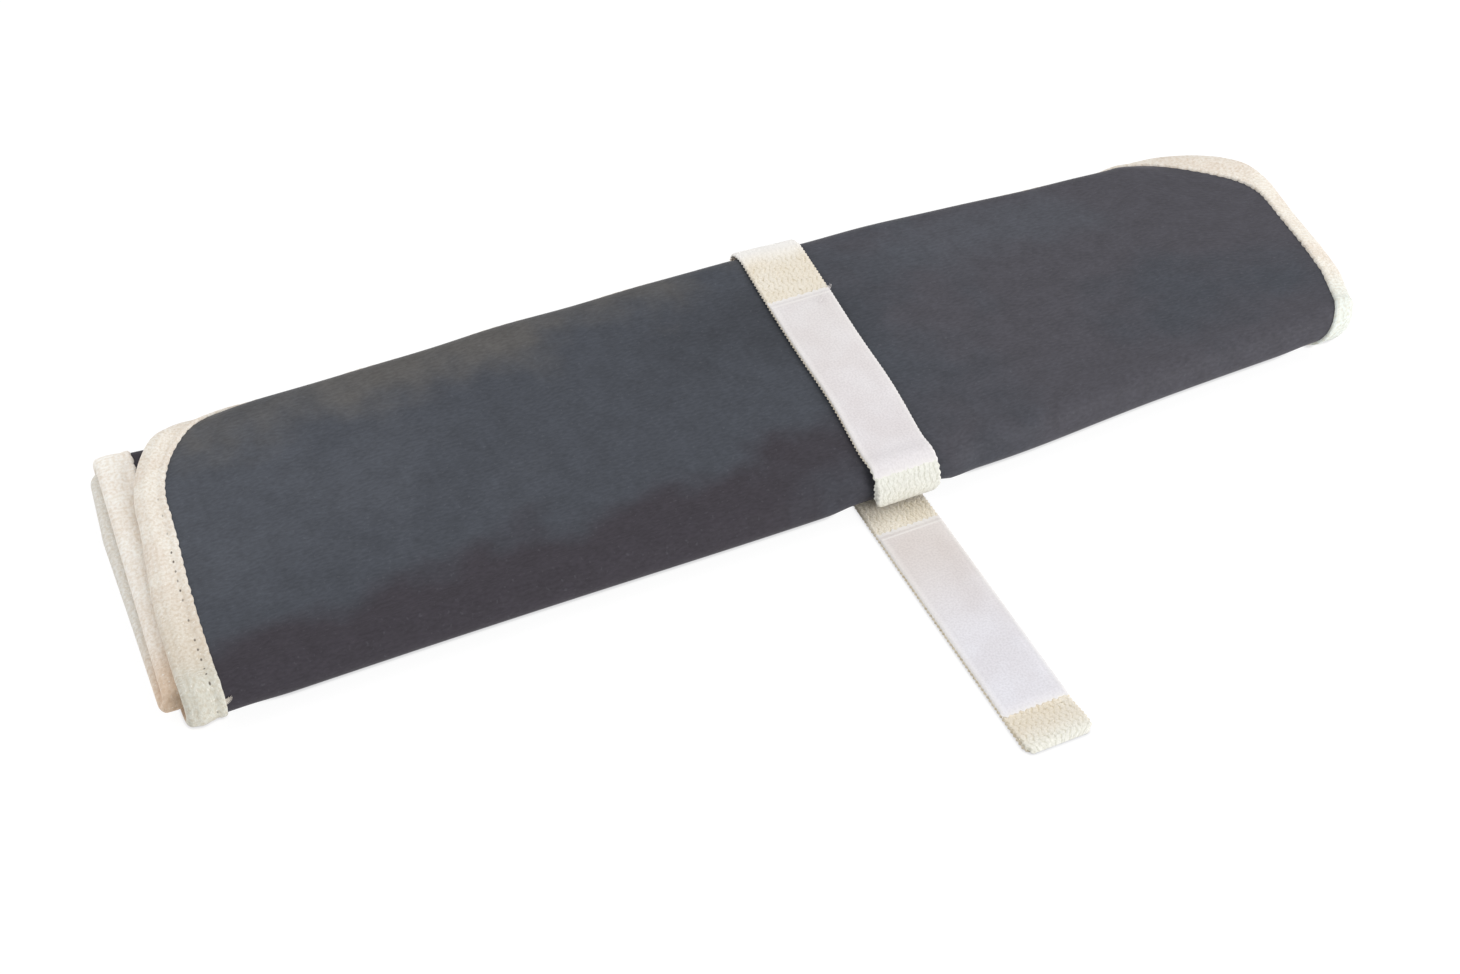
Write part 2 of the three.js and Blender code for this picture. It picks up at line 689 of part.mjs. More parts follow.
// The strap from under the roll up to its seam at the flap's edge
const RISER_RADIUS = 4.5;
const RISER_TURN = 60 * RADIANS;
const RISER_SET_BACK = 1.3; // the bend starts this far in front of the lip's lower edge
const lipFoot = flap(STRAP_BACK_X, lipEnd, 0);
const riserPath = new SectionPath(underBack + SPLIT_GAP, FLOOR_GAP, 0, 1);
riserPath.lineToY(lipFoot.y - RISER_SET_BACK).arc(RISER_RADIUS, RISER_TURN);
function riser(x, distance, height) {
  const at = riserPath.locate(distance);
  return new THREE.Vector3(x, at.y + height * at.ny, at.z + height * at.nz);
}
group.add(
  ribbon(
    "strap_riser",
    MATERIALS.webbing,
    riser,
    STRAP_BACK_X,
    WEBBING_WIDTH,
    riserPath.stations(10, 0.8),
    () => WEBBING_THICKNESS,
    () => 0,
  ),
);

export default group;
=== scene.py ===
"""A knife roll of waxed canvas, pressed flat, with bound edges and a webbing strap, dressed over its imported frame."""

import logging
import math
from dataclasses import dataclass, field
from enum import Enum
from typing import Any, Callable

import bpy
import numpy as np
from mathutils import Matrix, Vector

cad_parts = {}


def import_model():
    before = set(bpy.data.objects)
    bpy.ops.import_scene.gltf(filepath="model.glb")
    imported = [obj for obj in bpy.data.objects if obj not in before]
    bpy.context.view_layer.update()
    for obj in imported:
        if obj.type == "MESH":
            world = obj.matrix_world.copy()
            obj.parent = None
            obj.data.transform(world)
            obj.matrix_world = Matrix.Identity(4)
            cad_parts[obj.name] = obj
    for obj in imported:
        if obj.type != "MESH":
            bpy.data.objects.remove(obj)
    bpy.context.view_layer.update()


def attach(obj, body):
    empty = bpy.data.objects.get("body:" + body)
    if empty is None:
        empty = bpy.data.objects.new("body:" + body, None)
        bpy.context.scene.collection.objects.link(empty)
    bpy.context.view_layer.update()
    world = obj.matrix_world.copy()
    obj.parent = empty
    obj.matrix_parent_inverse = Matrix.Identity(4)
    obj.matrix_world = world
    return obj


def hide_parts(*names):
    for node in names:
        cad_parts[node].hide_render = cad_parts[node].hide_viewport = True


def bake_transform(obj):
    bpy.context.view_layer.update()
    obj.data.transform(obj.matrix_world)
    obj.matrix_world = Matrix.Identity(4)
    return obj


LOG = logging.getLogger("knife_roll")
MM = 0.001
Array = np.ndarray
Pair = tuple[float, float]
Point = tuple[float, float, float]
Material = bpy.types.Material
Piece = bpy.types.Object
Socket = bpy.types.NodeSocket
Tree = bpy.types.NodeTree
Surface = Callable[[Array, Array, Array], Array]
Marks = tuple[tuple[float, ...], tuple[float, ...]]


class Body(str, Enum):
    """The moving bodies of the frame."""

    MAT = "rolled_mat"
    FLAP = "flap"
    STRAP = "strap"
    STRAP_END = "strap_end"
    TAIL_ROOT = "tail_root"
    TAIL_END = "tail_end"
    TAIL_TAB = "tail_tab"


class Slot(str, Enum):
    """The material slots of the record."""

    SHELL = "shell_cloth"
    LINING = "lining_cloth"
    TAPE = "edge_tape"
    WEBBING = "webbing"
    LOOP = "loop_tape"
    HOOK = "hook_tape"
    STITCHING = "stitching"


class Coat(str, Enum):
    """How a tone goes on a colour."""

    OVER = "MIX"
    TINT = "MULTIPLY"


def linear(hex_colour: str) -> tuple[float, float, float, float]:
    """Turn an sRGB hex colour into linear red, green, blue and alpha.

    Args:
        hex_colour: six hex digits.

    Returns:
        The linear colour with alpha 1.
    """
    parts = [int(hex_colour[i : i + 2], 16) / 255 for i in (0, 2, 4)]
    red, green, blue = (c / 12.92 if c <= 0.04045 else ((c + 0.055) / 1.055) ** 2.4 for c in parts)
    return (red, green, blue, 1.0)


def ease(start: float, end: float, value: Any) -> Any:
    """Smooth step from 0 at start to 1 at end, for numbers or arrays."""
    t = np.clip((np.asarray(value, float) - start) / (end - start), 0, 1)
    return t * t * (3 - 2 * t)


def bell(offset: Any, spread: float) -> Any:
    """A bell curve, 1 where the offset is 0, for numbers or arrays."""
    return np.exp(-((offset / spread) ** 2))


def arch(value: Any) -> Any:
    """A quarter circle, from 1 where the value is 0 to 0 where it is 1, for numbers or arrays."""
    return np.sqrt(np.clip(1 - np.asarray(value, float) ** 2, 0, 1))


def together(*values: Any) -> list[Array]:
    """The values as arrays of one shape."""
    return np.broadcast_arrays(*(np.asarray(value, float) for value in values))


# ---- finishes

SMOOTH = {"interpolation_type": "SMOOTHSTEP"}


def add(
    tree: Tree,
    kind: str,
    inputs: Any = (),
    output: int | str = 0,
    stops: tuple[tuple[float, str], ...] = (),
    **settings: Any,
) -> Socket:
    """Add a shader node with its settings, and link or set its inputs.

    Args:
        tree: the node tree.
        kind: the node's type, after ShaderNode.
        inputs: sockets, hex colours or plain values, in the node's order, or by input name or number.
        output: name or number of the output that is wanted.
        stops: place and hex colour of each stop of a colour ramp.
        settings: attributes of the node.

    Returns:
        The output's socket.
    """
    made = tree.nodes.new(f"ShaderNode{kind}")
    for name, value in settings.items():
        setattr(made, name, value)
    for key, value in (inputs if isinstance(inputs, dict) else dict(enumerate(inputs))).items():
        if isinstance(value, Socket):
            tree.links.new(value, made.inputs[key])
        else:
            made.inputs[key].default_value = linear(value) if isinstance(value, str) else value
    for _ in stops[2:]:
        made.color_ramp.elements.new(0.5)
    for i, (place, colour) in enumerate(stops):
        made.color_ramp.elements[i].position = place
        made.color_ramp.elements[i].color = linear(colour)
    return made.outputs[output]


def sized(where: Any, size_mm: float, detail: float) -> dict[str, Any]:
    """The inputs of a noise whose largest features are about size_mm across."""
    return {"Vector": where, "Scale": 1 / (size_mm * MM), "Detail": detail}


@dataclass(frozen=True)
class Finish:
    """What every finish shares: its name, how it takes the light, and how its nodes start and end."""

    name: str
    roughness: float = 0.95
    specular: float = 0.12
    sheen: float = 0.12
    sheen_roughness: float = 0.5
    bump: float = 0.5
    bump_mm: float = 0.3

    def start(self) -> tuple[Material, Tree, Socket]:
        """Make the material.

        Returns:
            The material, its node tree, and the place on the flat cloth in metres.
        """
        material = bpy.data.materials.new(self.name)
        material.use_nodes = True
        tree = material.node_tree
        return material, tree, add(tree, "UVMap", output="UV", uv_map="flat")

    def painted(self, tree: Tree, colour: Any, *coats: tuple[Any, Any, Coat]) -> Socket:
        """Paint tones on a colour.

        Args:
            tree: the node tree.
            colour: the colour below.
            coats: for each its share, its tone and how it goes on.

        Returns:
            The colour with its coats.
        """
        for share, tone, coat in coats:
            links = {0: share, 6: colour, 7: tone}
            colour = add(tree, "Mix", links, 2, data_type="RGBA", blend_type=coat.value)
        return colour

    def threads(self, tree: Tree, where: Any, long_mm: float, wide_mm: float, detail: float = 2.0) -> Socket:
        """A pattern of threads.

        Args:
            tree: the node tree.
            where: the place on the flat cloth.
            long_mm: how long a thread shows across the cloth.
            wide_mm: how wide it shows along the cloth.
            detail: detail of the noise that they are drawn from.

        Returns:
            How high the threads stand.
        """
        scale = (1 / (long_mm * MM), 1 / (wide_mm * MM), 1.0)
        drawn = add(tree, "Mapping", {"Vector": where, "Scale": scale})
        return add(tree, "TexNoise", {"Vector": drawn, "Scale": 1.0, "Detail": detail})

    def finished(self, material: Material, colour: Any, relief: Any = None) -> Material:
        """Give the material's shader its colour, its relief and the way it takes the light.

        Args:
            material: the material.
            colour: the colour's socket.
            relief: the socket of the height of its surface.

        Returns:
            The material.
        """
        tree = material.node_tree
        shader = tree.nodes["Principled BSDF"]
        tree.links.new(colour, shader.inputs["Base Color"])
        if relief:
            height = {"Height": relief, "Strength": self.bump, "Distance": self.bump_mm * MM}
            tree.links.new(add(tree, "Bump", height, "Normal"), shader.inputs["Normal"])
        shader.inputs["Roughness"].default_value = self.roughness
        shader.inputs["Specular IOR Level"].default_value = self.specular
        shader.inputs["Sheen Weight"].default_value = self.sheen
        shader.inputs["Sheen Roughness"].default_value = self.sheen_roughness
        return material


@dataclass(frozen=True)
class Spot:
    """A soft oval of another tone on the canvas, in millimetres on the flat cloth."""

    tone: str
    middle: Pair
    radius: Pair
    share: float


@dataclass(frozen=True)
class WaxedCanvas(Finish):
    """Cotton canvas with a wax finish: matt slate, with a warmer tone and painted shade along the front fold."""

    roughness: float = 0.7
    specular: float = 0.25
    sheen: float = 0.14
    sheen_roughness: float = 0.3
    bump: float = 0.2
    slate: str = "4a4e56"
    grey: str = "4f4e55"
    grey_mm: Pair = (30.0, 110.0)  # the slate turns to grey over this stretch along the roll
    # a warmer tone with painted shade along the front fold, strongest towards the left end
    fold_tone_and_shade: str = "403c43"
    fold_band_mm: Pair = (18.0, -1.0)  # the warmer tone and painted shade fade out over this distance behind the fold
    fold_band_slope: float = 0.045  # and grows wider towards the strap
    fold_band_start_mm: float = -200.0
    fold_band_end_mm: Pair = (90.0, -30.0)
    spots: tuple[Spot, ...] = (
        Spot("545860", (-205, 78), (130, 84), 0.75),
        Spot("40434a", (22, 76), (74, 34), 0.75),
        Spot("474b53", (195, 26), (80, 34), 0.9),
        Spot("545860", (125, 96), (70, 26), 0.6),
        # painted sheen along the back fold, over the left half
        Spot("676460", (-110, 117), (165, 31), 0.75),
    )
    spot_edge: Pair = (1.05, 0.1)  # shares of a spot's radius
    ragged_mm: float = 55.0  # how far noise moves the edges of the tones
    fleck: str = "74777d"
    fleck_share: float = 0.13
    thread_mm: float = 0.9  # drawn at about twice the real thread so that it shows
    thread_length_mm: float = 2.6

    def tones(self, tree: Tree, where: Any) -> Socket:
        """The canvas's large tones, with painted shade along the front fold and a painted sheen on the back fold.

        Args:
            tree: the node tree.
            where: the place on the flat cloth.

        Returns:
            The colour.
        """
        x, y = (add(tree, "SeparateXYZ", (where,), axis) for axis in "XY")
        clouds = add(tree, "TexNoise", sized(where, 38, 4))
        drift = add(tree, "Math", (clouds, self.ragged_mm * MM, -self.ragged_mm / 2 * MM), operation="MULTIPLY_ADD")
        along = add(tree, "Math", (drift, 3, x), operation="MULTIPLY_ADD")
        start = -self.fold_band_start_mm * MM * self.fold_band_slope
        wider = add(tree, "Math", (x, self.fold_band_slope, start), operation="MULTIPLY_ADD")
        behind = add(tree, "Math", (add(tree, "Math", (y, drift)), wider), operation="SUBTRACT")
        greyer = add(tree, "MapRange", (along, *(mm * MM for mm in self.grey_mm)), **SMOOTH)
        coats = [(greyer, self.grey, Coat.OVER)]
        for spot in self.spots:
            scale = Vector((1 / (spot.radius[0] * MM), 1 / (spot.radius[1] * MM), 0))
            shift = -Vector((*spot.middle, 0)) * MM * scale
            offset = add(tree, "VectorMath", (where, scale, shift), operation="MULTIPLY_ADD")
            away = add(tree, "VectorMath", (offset,), "Value", operation="LENGTH")
            ragged = add(tree, "Math", (drift, 40, away), operation="MULTIPLY_ADD")
            inside = add(tree, "MapRange", (ragged, *self.spot_edge, 0, spot.share), **SMOOTH)
            coats.append((inside, spot.tone, Coat.OVER))
        # painted shade along the front fold, with the cloth's warmer tone
        band = add(tree, "MapRange", (behind, *(mm * MM for mm in self.fold_band_mm)), **SMOOTH)
        reach = add(tree, "MapRange", (along, *(mm * MM for mm in self.fold_band_end_mm)), **SMOOTH)
        coats.append((add(tree, "Math", (band, reach), operation="MULTIPLY"), self.fold_tone_and_shade, Coat.OVER))
        return self.painted(tree, self.slate, *coats)

    def build(self) -> Material:
        """Make the material."""
        material, tree, where = self.start()
        speckle = add(tree, "TexNoise", sized(where, 9, 5))
        mottle = add(tree, "ValToRGB", (speckle,), stops=((0.35, "e6e5e4"), (0.65, "ffffff")))
        grain = self.threads(tree, where, 2.4, 1.0, 4.0)
        streak = add(tree, "ValToRGB", (grain,), stops=((0.34, "c6c4c4"), (0.66, "ffffff")))
        dots = add(tree, "TexNoise", sized(where, 1.6, 2))
        fleck = add(tree, "MapRange", (dots, 0.62, 0.74, 0, self.fleck_share), **SMOOTH)
        colour = self.painted(
            tree,
            self.tones(tree, where),
            (0.6, mottle, Coat.TINT),
            (0.5, streak, Coat.TINT),
            (fleck, self.fleck, Coat.OVER),
        )
        weft = self.threads(tree, where, self.thread_length_mm, self.thread_mm)
        warp = self.threads(tree, where, self.thread_mm, self.thread_length_mm)
        return self.finished(material, colour, add(tree, "Math", (weft, warp)))


@dataclass(frozen=True)
class PlainLining(Finish):
    """Plain woven cotton, grey brown, with an even thread."""

    roughness: float = 0.9
    specular: float = 0.2
    sheen: float = 0.0
    bump: float = 0.4
    colour: str = "6b6867"
    shade: str = "595655"
    thread_mm: float = 0.8
    thread_length_mm: float = 4.0

    def build(self) -> Material:
        """Make the material."""
        material, tree, where = self.start()
        weft = self.threads(tree, where, self.thread_length_mm, self.thread_mm)
        warp = self.threads(tree, where, self.thread_mm, self.thread_length_mm)
        weave = add(tree, "Math", (add(tree, "Math", (weft, warp)), 0.5), operation="MULTIPLY")
        colour = add(tree, "ValToRGB", (weave,), stops=((0.4, self.shade), (0.58, self.colour)))
        return self.finished(material, colour, weave)


@dataclass(frozen=True)
class CottonTape(Finish):
    """Brushed cotton binding tape: cream with a short nap, crinkled by its stitches, with some needle holes showing,
    and with painted cool light and painted shade where the piece marks them.
    """

    bump: float = 0.55
    bump_mm: float = 0.8
    pale: str = "f2ede4"
    cream: str = "eee7dd"
    peach: str = "ebe2d7"
    # painted cool light for the right front, also mixed into the painted shade as a cool grey
    cool: str = "e3ece8"
    # painted shade: a warm grey on the left front of the flap's tape, a tan at the low front end of the inner layers'
    # tape
    aged: str = "d2c7b5"
    nap: str = "e9e0d4"
    nap_middle: str = "f4f0ea"
    fleck: str = "fbf8f2"
    fleck_share: float = 0.6
    hole: str = "6d655c"
    hole_mm: Pair = (0.5, 0.2)
    hole_stretch: float = 1.7  # a hole is drawn out along the seam
    stitch_line_mm: float = 9.0
    stitch_pitch_mm: float = 4.7

    def holes(self, tree: Tree, where: Any) -> Socket:
        """The needle holes along the seam, uneven, where the piece says that it is sewn.

        Args:
            tree: the node tree.
            where: the place on the flat tape.

        Returns:
            How dark each place is.
        """
        x, y = (add(tree, "SeparateXYZ", (where,), axis) for axis in "XY")
        across = add(tree, "Math", (x, 1 / MM, -self.stitch_line_mm), operation="MULTIPLY_ADD")
        turn = add(tree, "Math", (y, self.stitch_pitch_mm * MM), operation="DIVIDE")
        step = self.stitch_pitch_mm / self.hole_stretch
        within = add(tree, "Math", (turn,), operation="FRACT")
        along = add(tree, "Math", (within, step, -step / 2), operation="MULTIPLY_ADD")
        away = add(tree, "VectorMath", (add(tree, "CombineXYZ", (across, along)),), "Value", operation="LENGTH")
        strength = add(tree, "MapRange", (away, *self.hole_mm), **SMOOTH)
        uneven = add(tree, "MapRange", (add(tree, "TexNoise", sized(where, 7, 1)), 0.36, 0.56), **SMOOTH)
        for share in (uneven, add(tree, "Attribute", output="Fac", attribute_name="sewn")):
            strength = add(tree, "Math", (strength, share), operation="MULTIPLY")
        return strength

    def build(self) -> Material:
        """Make the material."""
        material, tree, where = self.start()
        clouds = add(tree, "TexNoise", sized(where, 15, 3))
        stops = ((0.4, self.peach), (0.5, self.cream), (0.6, self.pale))
        curl = add(tree, "TexNoise", sized(where, 1.3, 5))
        fibre = add(tree, "ValToRGB", (curl,), stops=((0.33, self.nap), (0.47, self.nap_middle), (0.6, "ffffff")))
        dots = add(tree, "TexNoise", sized(where, 1.2, 2))
        colour = self.painted(
            tree,
            add(tree, "ValToRGB", (clouds,), stops=stops),
            # painted cool light and cool grey shade, where the piece marks it
            (add(tree, "Attribute", output="Fac", attribute_name="cool"), self.cool, Coat.OVER),
            # painted shade, where the piece marks it
            (add(tree, "Attribute", output="Fac", attribute_name="aged"), self.aged, Coat.OVER),
            (0.75, fibre, Coat.TINT),
            (add(tree, "MapRange", (dots, 0.6, 0.72, 0, self.fleck_share), **SMOOTH), self.fleck, Coat.OVER),
            (self.holes(tree, where), self.hole, Coat.OVER),
        )
        fine = add(tree, "Math", (add(tree, "TexNoise", sized(where, 0.7, 3)), 0.4), operation="MULTIPLY")
        return self.finished(material, colour, add(tree, "Math", (curl, 0.8, fine), operation="MULTIPLY_ADD"))


@dataclass(frozen=True)
class RibbedWebbing(Finish):
    """Cotton webbing woven in wavy ribs: creamy crowns with narrow grooves between them, slightly darker with painted
    shade.
    """

    sheen: float = 0.1
    bump: float = 0.75
    bump_mm: float = 0.6
    crown: str = "eee7da"
    middle: str = "e9e1d2"
    # painted shade in the grooves
    groove: str = "d6cbb4"
    hole: str = "b9ac93"
    hole_share: float = 0.6
    pale: str = "fbf9f6"
    # painted cool light on the strap's hanging end and the tab's end, with painted shade in the grooves
    cool_crown: str = "eeefe8"
    cool_middle: str = "e4e5dd"
    cool_groove: str = "d3d4c8"
    cool_share: float = 0.85

    def build(self) -> Material:
        """Make the material."""
        material, tree, where = self.start()
        names = ("rib", "cool", "pale")
        height, cool, pale = (add(tree, "Attribute", output="Fac", attribute_name=name) for name in names)
        fibre = add(tree, "TexNoise", sized(where, 0.8, 4))
        spread = add(tree, "Math", (add(tree, "Math", (fibre, 0.5), operation="SUBTRACT"), height))
        # the rib height sets the painted shade in the grooves
        ribs = add(tree, "ValToRGB", (spread,), stops=((0.05, self.groove), (0.5, self.middle), (1.0, self.crown)))
        stops = ((0.1, self.cool_groove), (0.55, self.cool_middle), (1.0, self.cool_crown))
        picks = add(tree, "TexNoise", sized(where, 1.5, 2))
        dots = add(tree, "MapRange", (picks, 0.57, 0.68, 0, self.hole_share), **SMOOTH)
        low = add(tree, "MapRange", (height, 0.75, 0.2), **SMOOTH)
        clouds = add(tree, "TexNoise", sized(where, 14, 3))
        colour = self.painted(
            tree,
            ribs,
            (add(tree, "Math", (dots, low), operation="MULTIPLY"), self.hole, Coat.OVER),
            (0.6, add(tree, "ValToRGB", (clouds,), stops=((0.38, "f8f3ea"), (0.62, "ffffff"))), Coat.TINT),
            (
                add(tree, "Math", (cool, self.cool_share), operation="MULTIPLY"),
                add(tree, "ValToRGB", (spread,), stops=stops),
                Coat.OVER,
            ),
            (pale, self.pale, Coat.OVER),
        )
        return self.finished(material, colour, fibre)


@dataclass(frozen=True)
class PatchPile(Finish):
    """Nylon hook or loop tape: a close white pile with a cool cast that changes a little along its length; on the hook
    tape the end near the roll is darker with painted shade.
    """

    roughness: float = 0.85
    specular: float = 0.2
    bump: float = 0.22
    near: str = "e4e0e2"
    far: str = "e4e0e0"
    edge: str = "f1eeeb"
    near_mm: float = 0.0
    far_mm: float = 80.0

    def build(self) -> Material:
        """Make the material."""
        material, tree, where = self.start()
        y = add(tree, "SeparateXYZ", (where,), "Y")
        fuzz = add(tree, "TexNoise", sized(where, 0.8, 4))
        clouds = add(tree, "TexNoise", sized(where, 20, 2))
        colour = self.painted(
            tree,
            self.near,
            (add(tree, "MapRange", (y, self.near_mm * MM, self.far_mm * MM), **SMOOTH), self.far, Coat.OVER),
            (0.7, add(tree, "ValToRGB", (fuzz,), stops=((0.36, "efeeee"), (0.6, "ffffff"))), Coat.TINT),
            (0.8, add(tree, "ValToRGB", (clouds,), stops=((0.4, "f8f6f5"), (0.6, "ffffff"))), Coat.TINT),
            (add(tree, "Attribute", output="Fac", attribute_name="rib"), self.edge, Coat.OVER),
        )
        return self.finished(material, colour, fuzz)


@dataclass(frozen=True)
class SewingThread(Finish):
    """Cotton sewing thread, cream, with the twist of its plies."""

    roughness: float = 0.9
    specular: float = 0.5
    sheen: float = 0.0
    light: str = "f3ecdd"
    dark: str = "d5c9b2"

    def build(self) -> Material:
        """Make the material."""
        material, tree, _ = self.start()
        twist = add(tree, "TexNoise", sized(add(tree, "TexCoord", output="Object"), 0.8, 2))
        return self.finished(material, add(tree, "ValToRGB", (twist,), stops=((0.4, self.dark), (0.6, self.light))))


# ---- the shape of the roll, in millimetres


@dataclass
class Runs:
    """Straight runs and tangent arcs in the YZ plane, for many places along the roll at once."""

    y: Array
    z: Array
    heading: Array
    side: int
    runs: list[tuple[Array, ...]] = field(default_factory=list)

    def line(self, length: Array) -> None:
        """Add a straight run."""
        self.runs.append((self.y, self.z, self.heading, np.zeros_like(self.y), length))
        self.y = self.y + length * np.cos(self.heading)
        self.z = self.z + length * np.sin(self.heading)

    def line_to_y(self, y: Array) -> None:
        """Add a straight run that ends at a given Y."""
        self.line((y - self.y) / np.cos(self.heading))

    def arc(self, radius: Array, turn: Array) -> None:
        """Add an arc.

        Args:
            radius: its radius.
            turn: how far it turns the heading, in radians.
        """
        curvature = np.sign(turn) / radius
        self.runs.append((self.y, self.z, self.heading, curvature, radius * np.abs(turn)))
        after = self.heading + turn
        self.y = self.y + (np.sin(after) - np.sin(self.heading)) / curvature
        self.z = self.z - (np.cos(after) - np.cos(self.heading)) / curvature
        self.heading = after

    def locate(self, run: Array, share: Array) -> tuple[Array, ...]:
        """Place and outward normal at a share of a run.

        Args:
            run: which run, for each point.
            share: how far along it.

        Returns:
            Arrays y, z, normal y and normal z.
        """
        y, z, heading, curvature, length = (np.choose(run, values) for values in zip(*self.runs))
        s = share * length
        after = heading + curvature * s
        bent = np.where(curvature == 0, 1.0, curvature)
        y = np.where(curvature == 0, y + s * np.cos(heading), y + (np.sin(after) - np.sin(heading)) / bent)
        z = np.where(curvature == 0, z + s * np.sin(heading), z - (np.cos(after) - np.cos(heading)) / bent)
        return y, z, -self.side * np.sin(after), self.side * np.cos(after)


@dataclass
class RollShape:
    """The sizes of the rolled mat, the same as its frame's, and the surfaces that follow from them.

    Places on the flat mat are x along the roll and q or s across it: q is counted from the hinge line to the flap's
    free edge, and s from the hinge line the other way, round the front fold and through the layers.
    """

    strap_x: float = 34.0
    strap_slant: float = 0.045
    shell: float = 1.1
    lining: float = 0.7
    gap: float = 0.3
    tape_gap: float = 0.45
    tape: float = 0.75
    tape_width: float = 12.5
    tape_edge: float = 1.5
    flap_left_corner: float = 60.0
    flap_right_corner: float = 51.0
    inner_corner: float = 6.0
    hinge_y: float = -51.0
    hinge_reach: float = 6.0  # the cloth bends over this distance on both sides of the hinge line
    front_ends_y: float = -62.4
    front_slant: float = 0.004
    front_bow: float = 3.6
    front_bow_x: float = 20.0
    front_bow_spread: float = 127.0
    front_bulge: float = 1.7
    front_bulge_x: float = 86.0
    front_bulge_spread: float = 40.0
    beside_strap: float = 2.0
    beside_strap_x: tuple[float, ...] = (45.0, 54.0, 66.0)
    flap_front_z: float = 17.8
    flap_back_z: float = 22.4
    second_front_z: float = 12.9
    second_back_z: float = 17.0
    third_z: float = 6.0
    flap_back: float = 61.5
    back_fall: float = 15.9
    back_fall_x: float = -20.0
    back_fall_span: float = 225.0
    back_fall_power: float = 1.44
    back_end_pull: float = 13.9
    back_end: Pair = (197.0, 229.0)
    flap_reach: float = 3.0
    left_reach: Pair = (-175.0, -222.0)
    left_back: float = 2.4
    left_back_x: Pair = (-206.0, -234.0)
    corner_tuck: float = 2.7
    corner_tuck_q: Pair = (20.0, 100.0)
    lip_radius: float = 10.5
    lip_arc: float = 14.3
    lip_drop: float = 10.5
    lip_flattening: float = 0.8
    lip_flattening_x: Pair = (184.0, 231.0)
    second_turn_y: float = 12.0
    third_end: float = -0.8
    third_midway: Pair = (0.35, 0.7)
    pressed_x: Pair = (-214.0, -236.0)  # the innermost layer is pressed up to the one above it here
    pressed_run: float = 20.0
    pressed_overlap: float = 0.9
    end_lift: float = 1.25
    end_lift_x: Pair = (205.0, 222.0)
    strap_lift: float = 2.3
    strap_lift_x: Pair = (20.0, 32.0)
    droop_radius: float = 8.0
    droop_angle: float = 52.0
    flap_overhang: float = 11.7
    flap_left_q: tuple[float, ...] = (0, 20, 40, 65, 80)
    flap_left_x: tuple[float, ...] = (-241, -240, -238.5, -235.8, -234.5, -228.5)
    flap_right_q: tuple[float, ...] = (0, 20, 40)
    flap_right_x: tuple[float, ...] = (248.1, 252.4, 253.6, 257)
    turns_left_x: tuple[float, ...] = (-241, -241.1, -241.5, -239.5, -239.5, -246.5, -248.5, -247.2, -246.1, -242.5)
    turns_right_x: tuple[float, ...] = (248.1, 247.2, 232.5, 237, 237, 231, 231, 236)
    front_support_x: tuple[float, ...] = (236.4, 235.2, 220)
    upper_share: float = 0.8  # how much of the front fold belongs to the flap's sheet

    def __post_init__(self) -> None:
        """Work out the lengths along the cloth and its cut edges."""
        here = np.array([self.strap_x])
        self.flap_reference = [float(r[4][0]) for r in self.flap_runs(here).runs]
        self.turns_reference = [float(r[4][0]) for r in self.turns_runs(here).runs]
        self.flap_length = sum(self.flap_reference)
        self.turns_length = sum(self.turns_reference)
        self.lip_length = self.lip_arc + self.lip_drop
        starts = np.concatenate([[0], np.cumsum(self.turns_reference)])
        fold, bottom, back, second, inner, third, end = starts[1:8]
        self.bottom_run, self.second_run, self.inner_run, self.third_run = bottom, second, inner, third
        self.flap_left: Marks = ((*self.flap_left_q, self.flap_length), self.flap_left_x)
        self.flap_right: Marks = ((*self.flap_right_q, self.flap_length), self.flap_right_x)
        self.flap_support: Marks = (self.flap_right[0], tuple(x - self.flap_overhang for x in self.flap_right_x))
        midway = (third + share * (end - third) for share in self.third_midway)
        self.turns_left: Marks = ((0, fold, bottom, back, second, inner, third, *midway, end), self.turns_left_x)
        self.turns_right: Marks = ((0, fold, bottom, back, second, inner, third, end), self.turns_right_x)
        self.front_support: Marks = ((0, fold, bottom), self.front_support_x)
        self.stack = self.shell + self.gap + self.lining
        self.split = fold + self.upper_share * (bottom - fold)
        bend = ((self.hinge_y + side * self.hinge_reach) * MM for side in (-1, 1))
        self.flap_bend = tuple((0, y, self.flap_front_z * MM) for y in bend)

    def front_y(self, x: Array) -> Array:
        """Front line of the roll at x."""
        bow = self.front_bow * bell(x - self.front_bow_x, self.front_bow_spread)
        bulge = self.front_bulge * bell(x - self.front_bulge_x, self.front_bulge_spread)
        start, middle, end = self.beside_strap_x
        beside = self.beside_strap * ease(start, middle, x) * (1 - ease(middle, end, x))
        return self.front_ends_y + self.front_slant * x - bow - bulge - beside

    def fall_y(self, x: Array) -> Array:
        """The back line at x, which falls away to the right."""
        share = np.maximum(0, (x - self.back_fall_x) / self.back_fall_span)
        fall = self.back_fall * share**self.back_fall_power + self.back_end_pull * ease(*self.back_end, x)
        return self.flap_back - self.flap_reach - fall

    def flap_back_y(self, x: Array) -> Array:
        """Line along the back where the flap starts to turn down."""
        return self.fall_y(x) + self.flap_reach * (1 - ease(*self.left_reach, x))

    def back_y(self, x: Array) -> Array:
        """Line along the back where the layers below the flap fold up."""
        return self.fall_y(x) + self.left_back * ease(*self.left_back_x, x)

    def underside_z(self, x: Array) -> Array:
        """Height of the lower panel over the table at x."""
        ends = self.end_lift * ease(*self.end_lift_x, np.abs(x))
        return np.maximum(ends, self.strap_lift * (1 - ease(*self.strap_lift_x, np.abs(x - self.strap_x))))

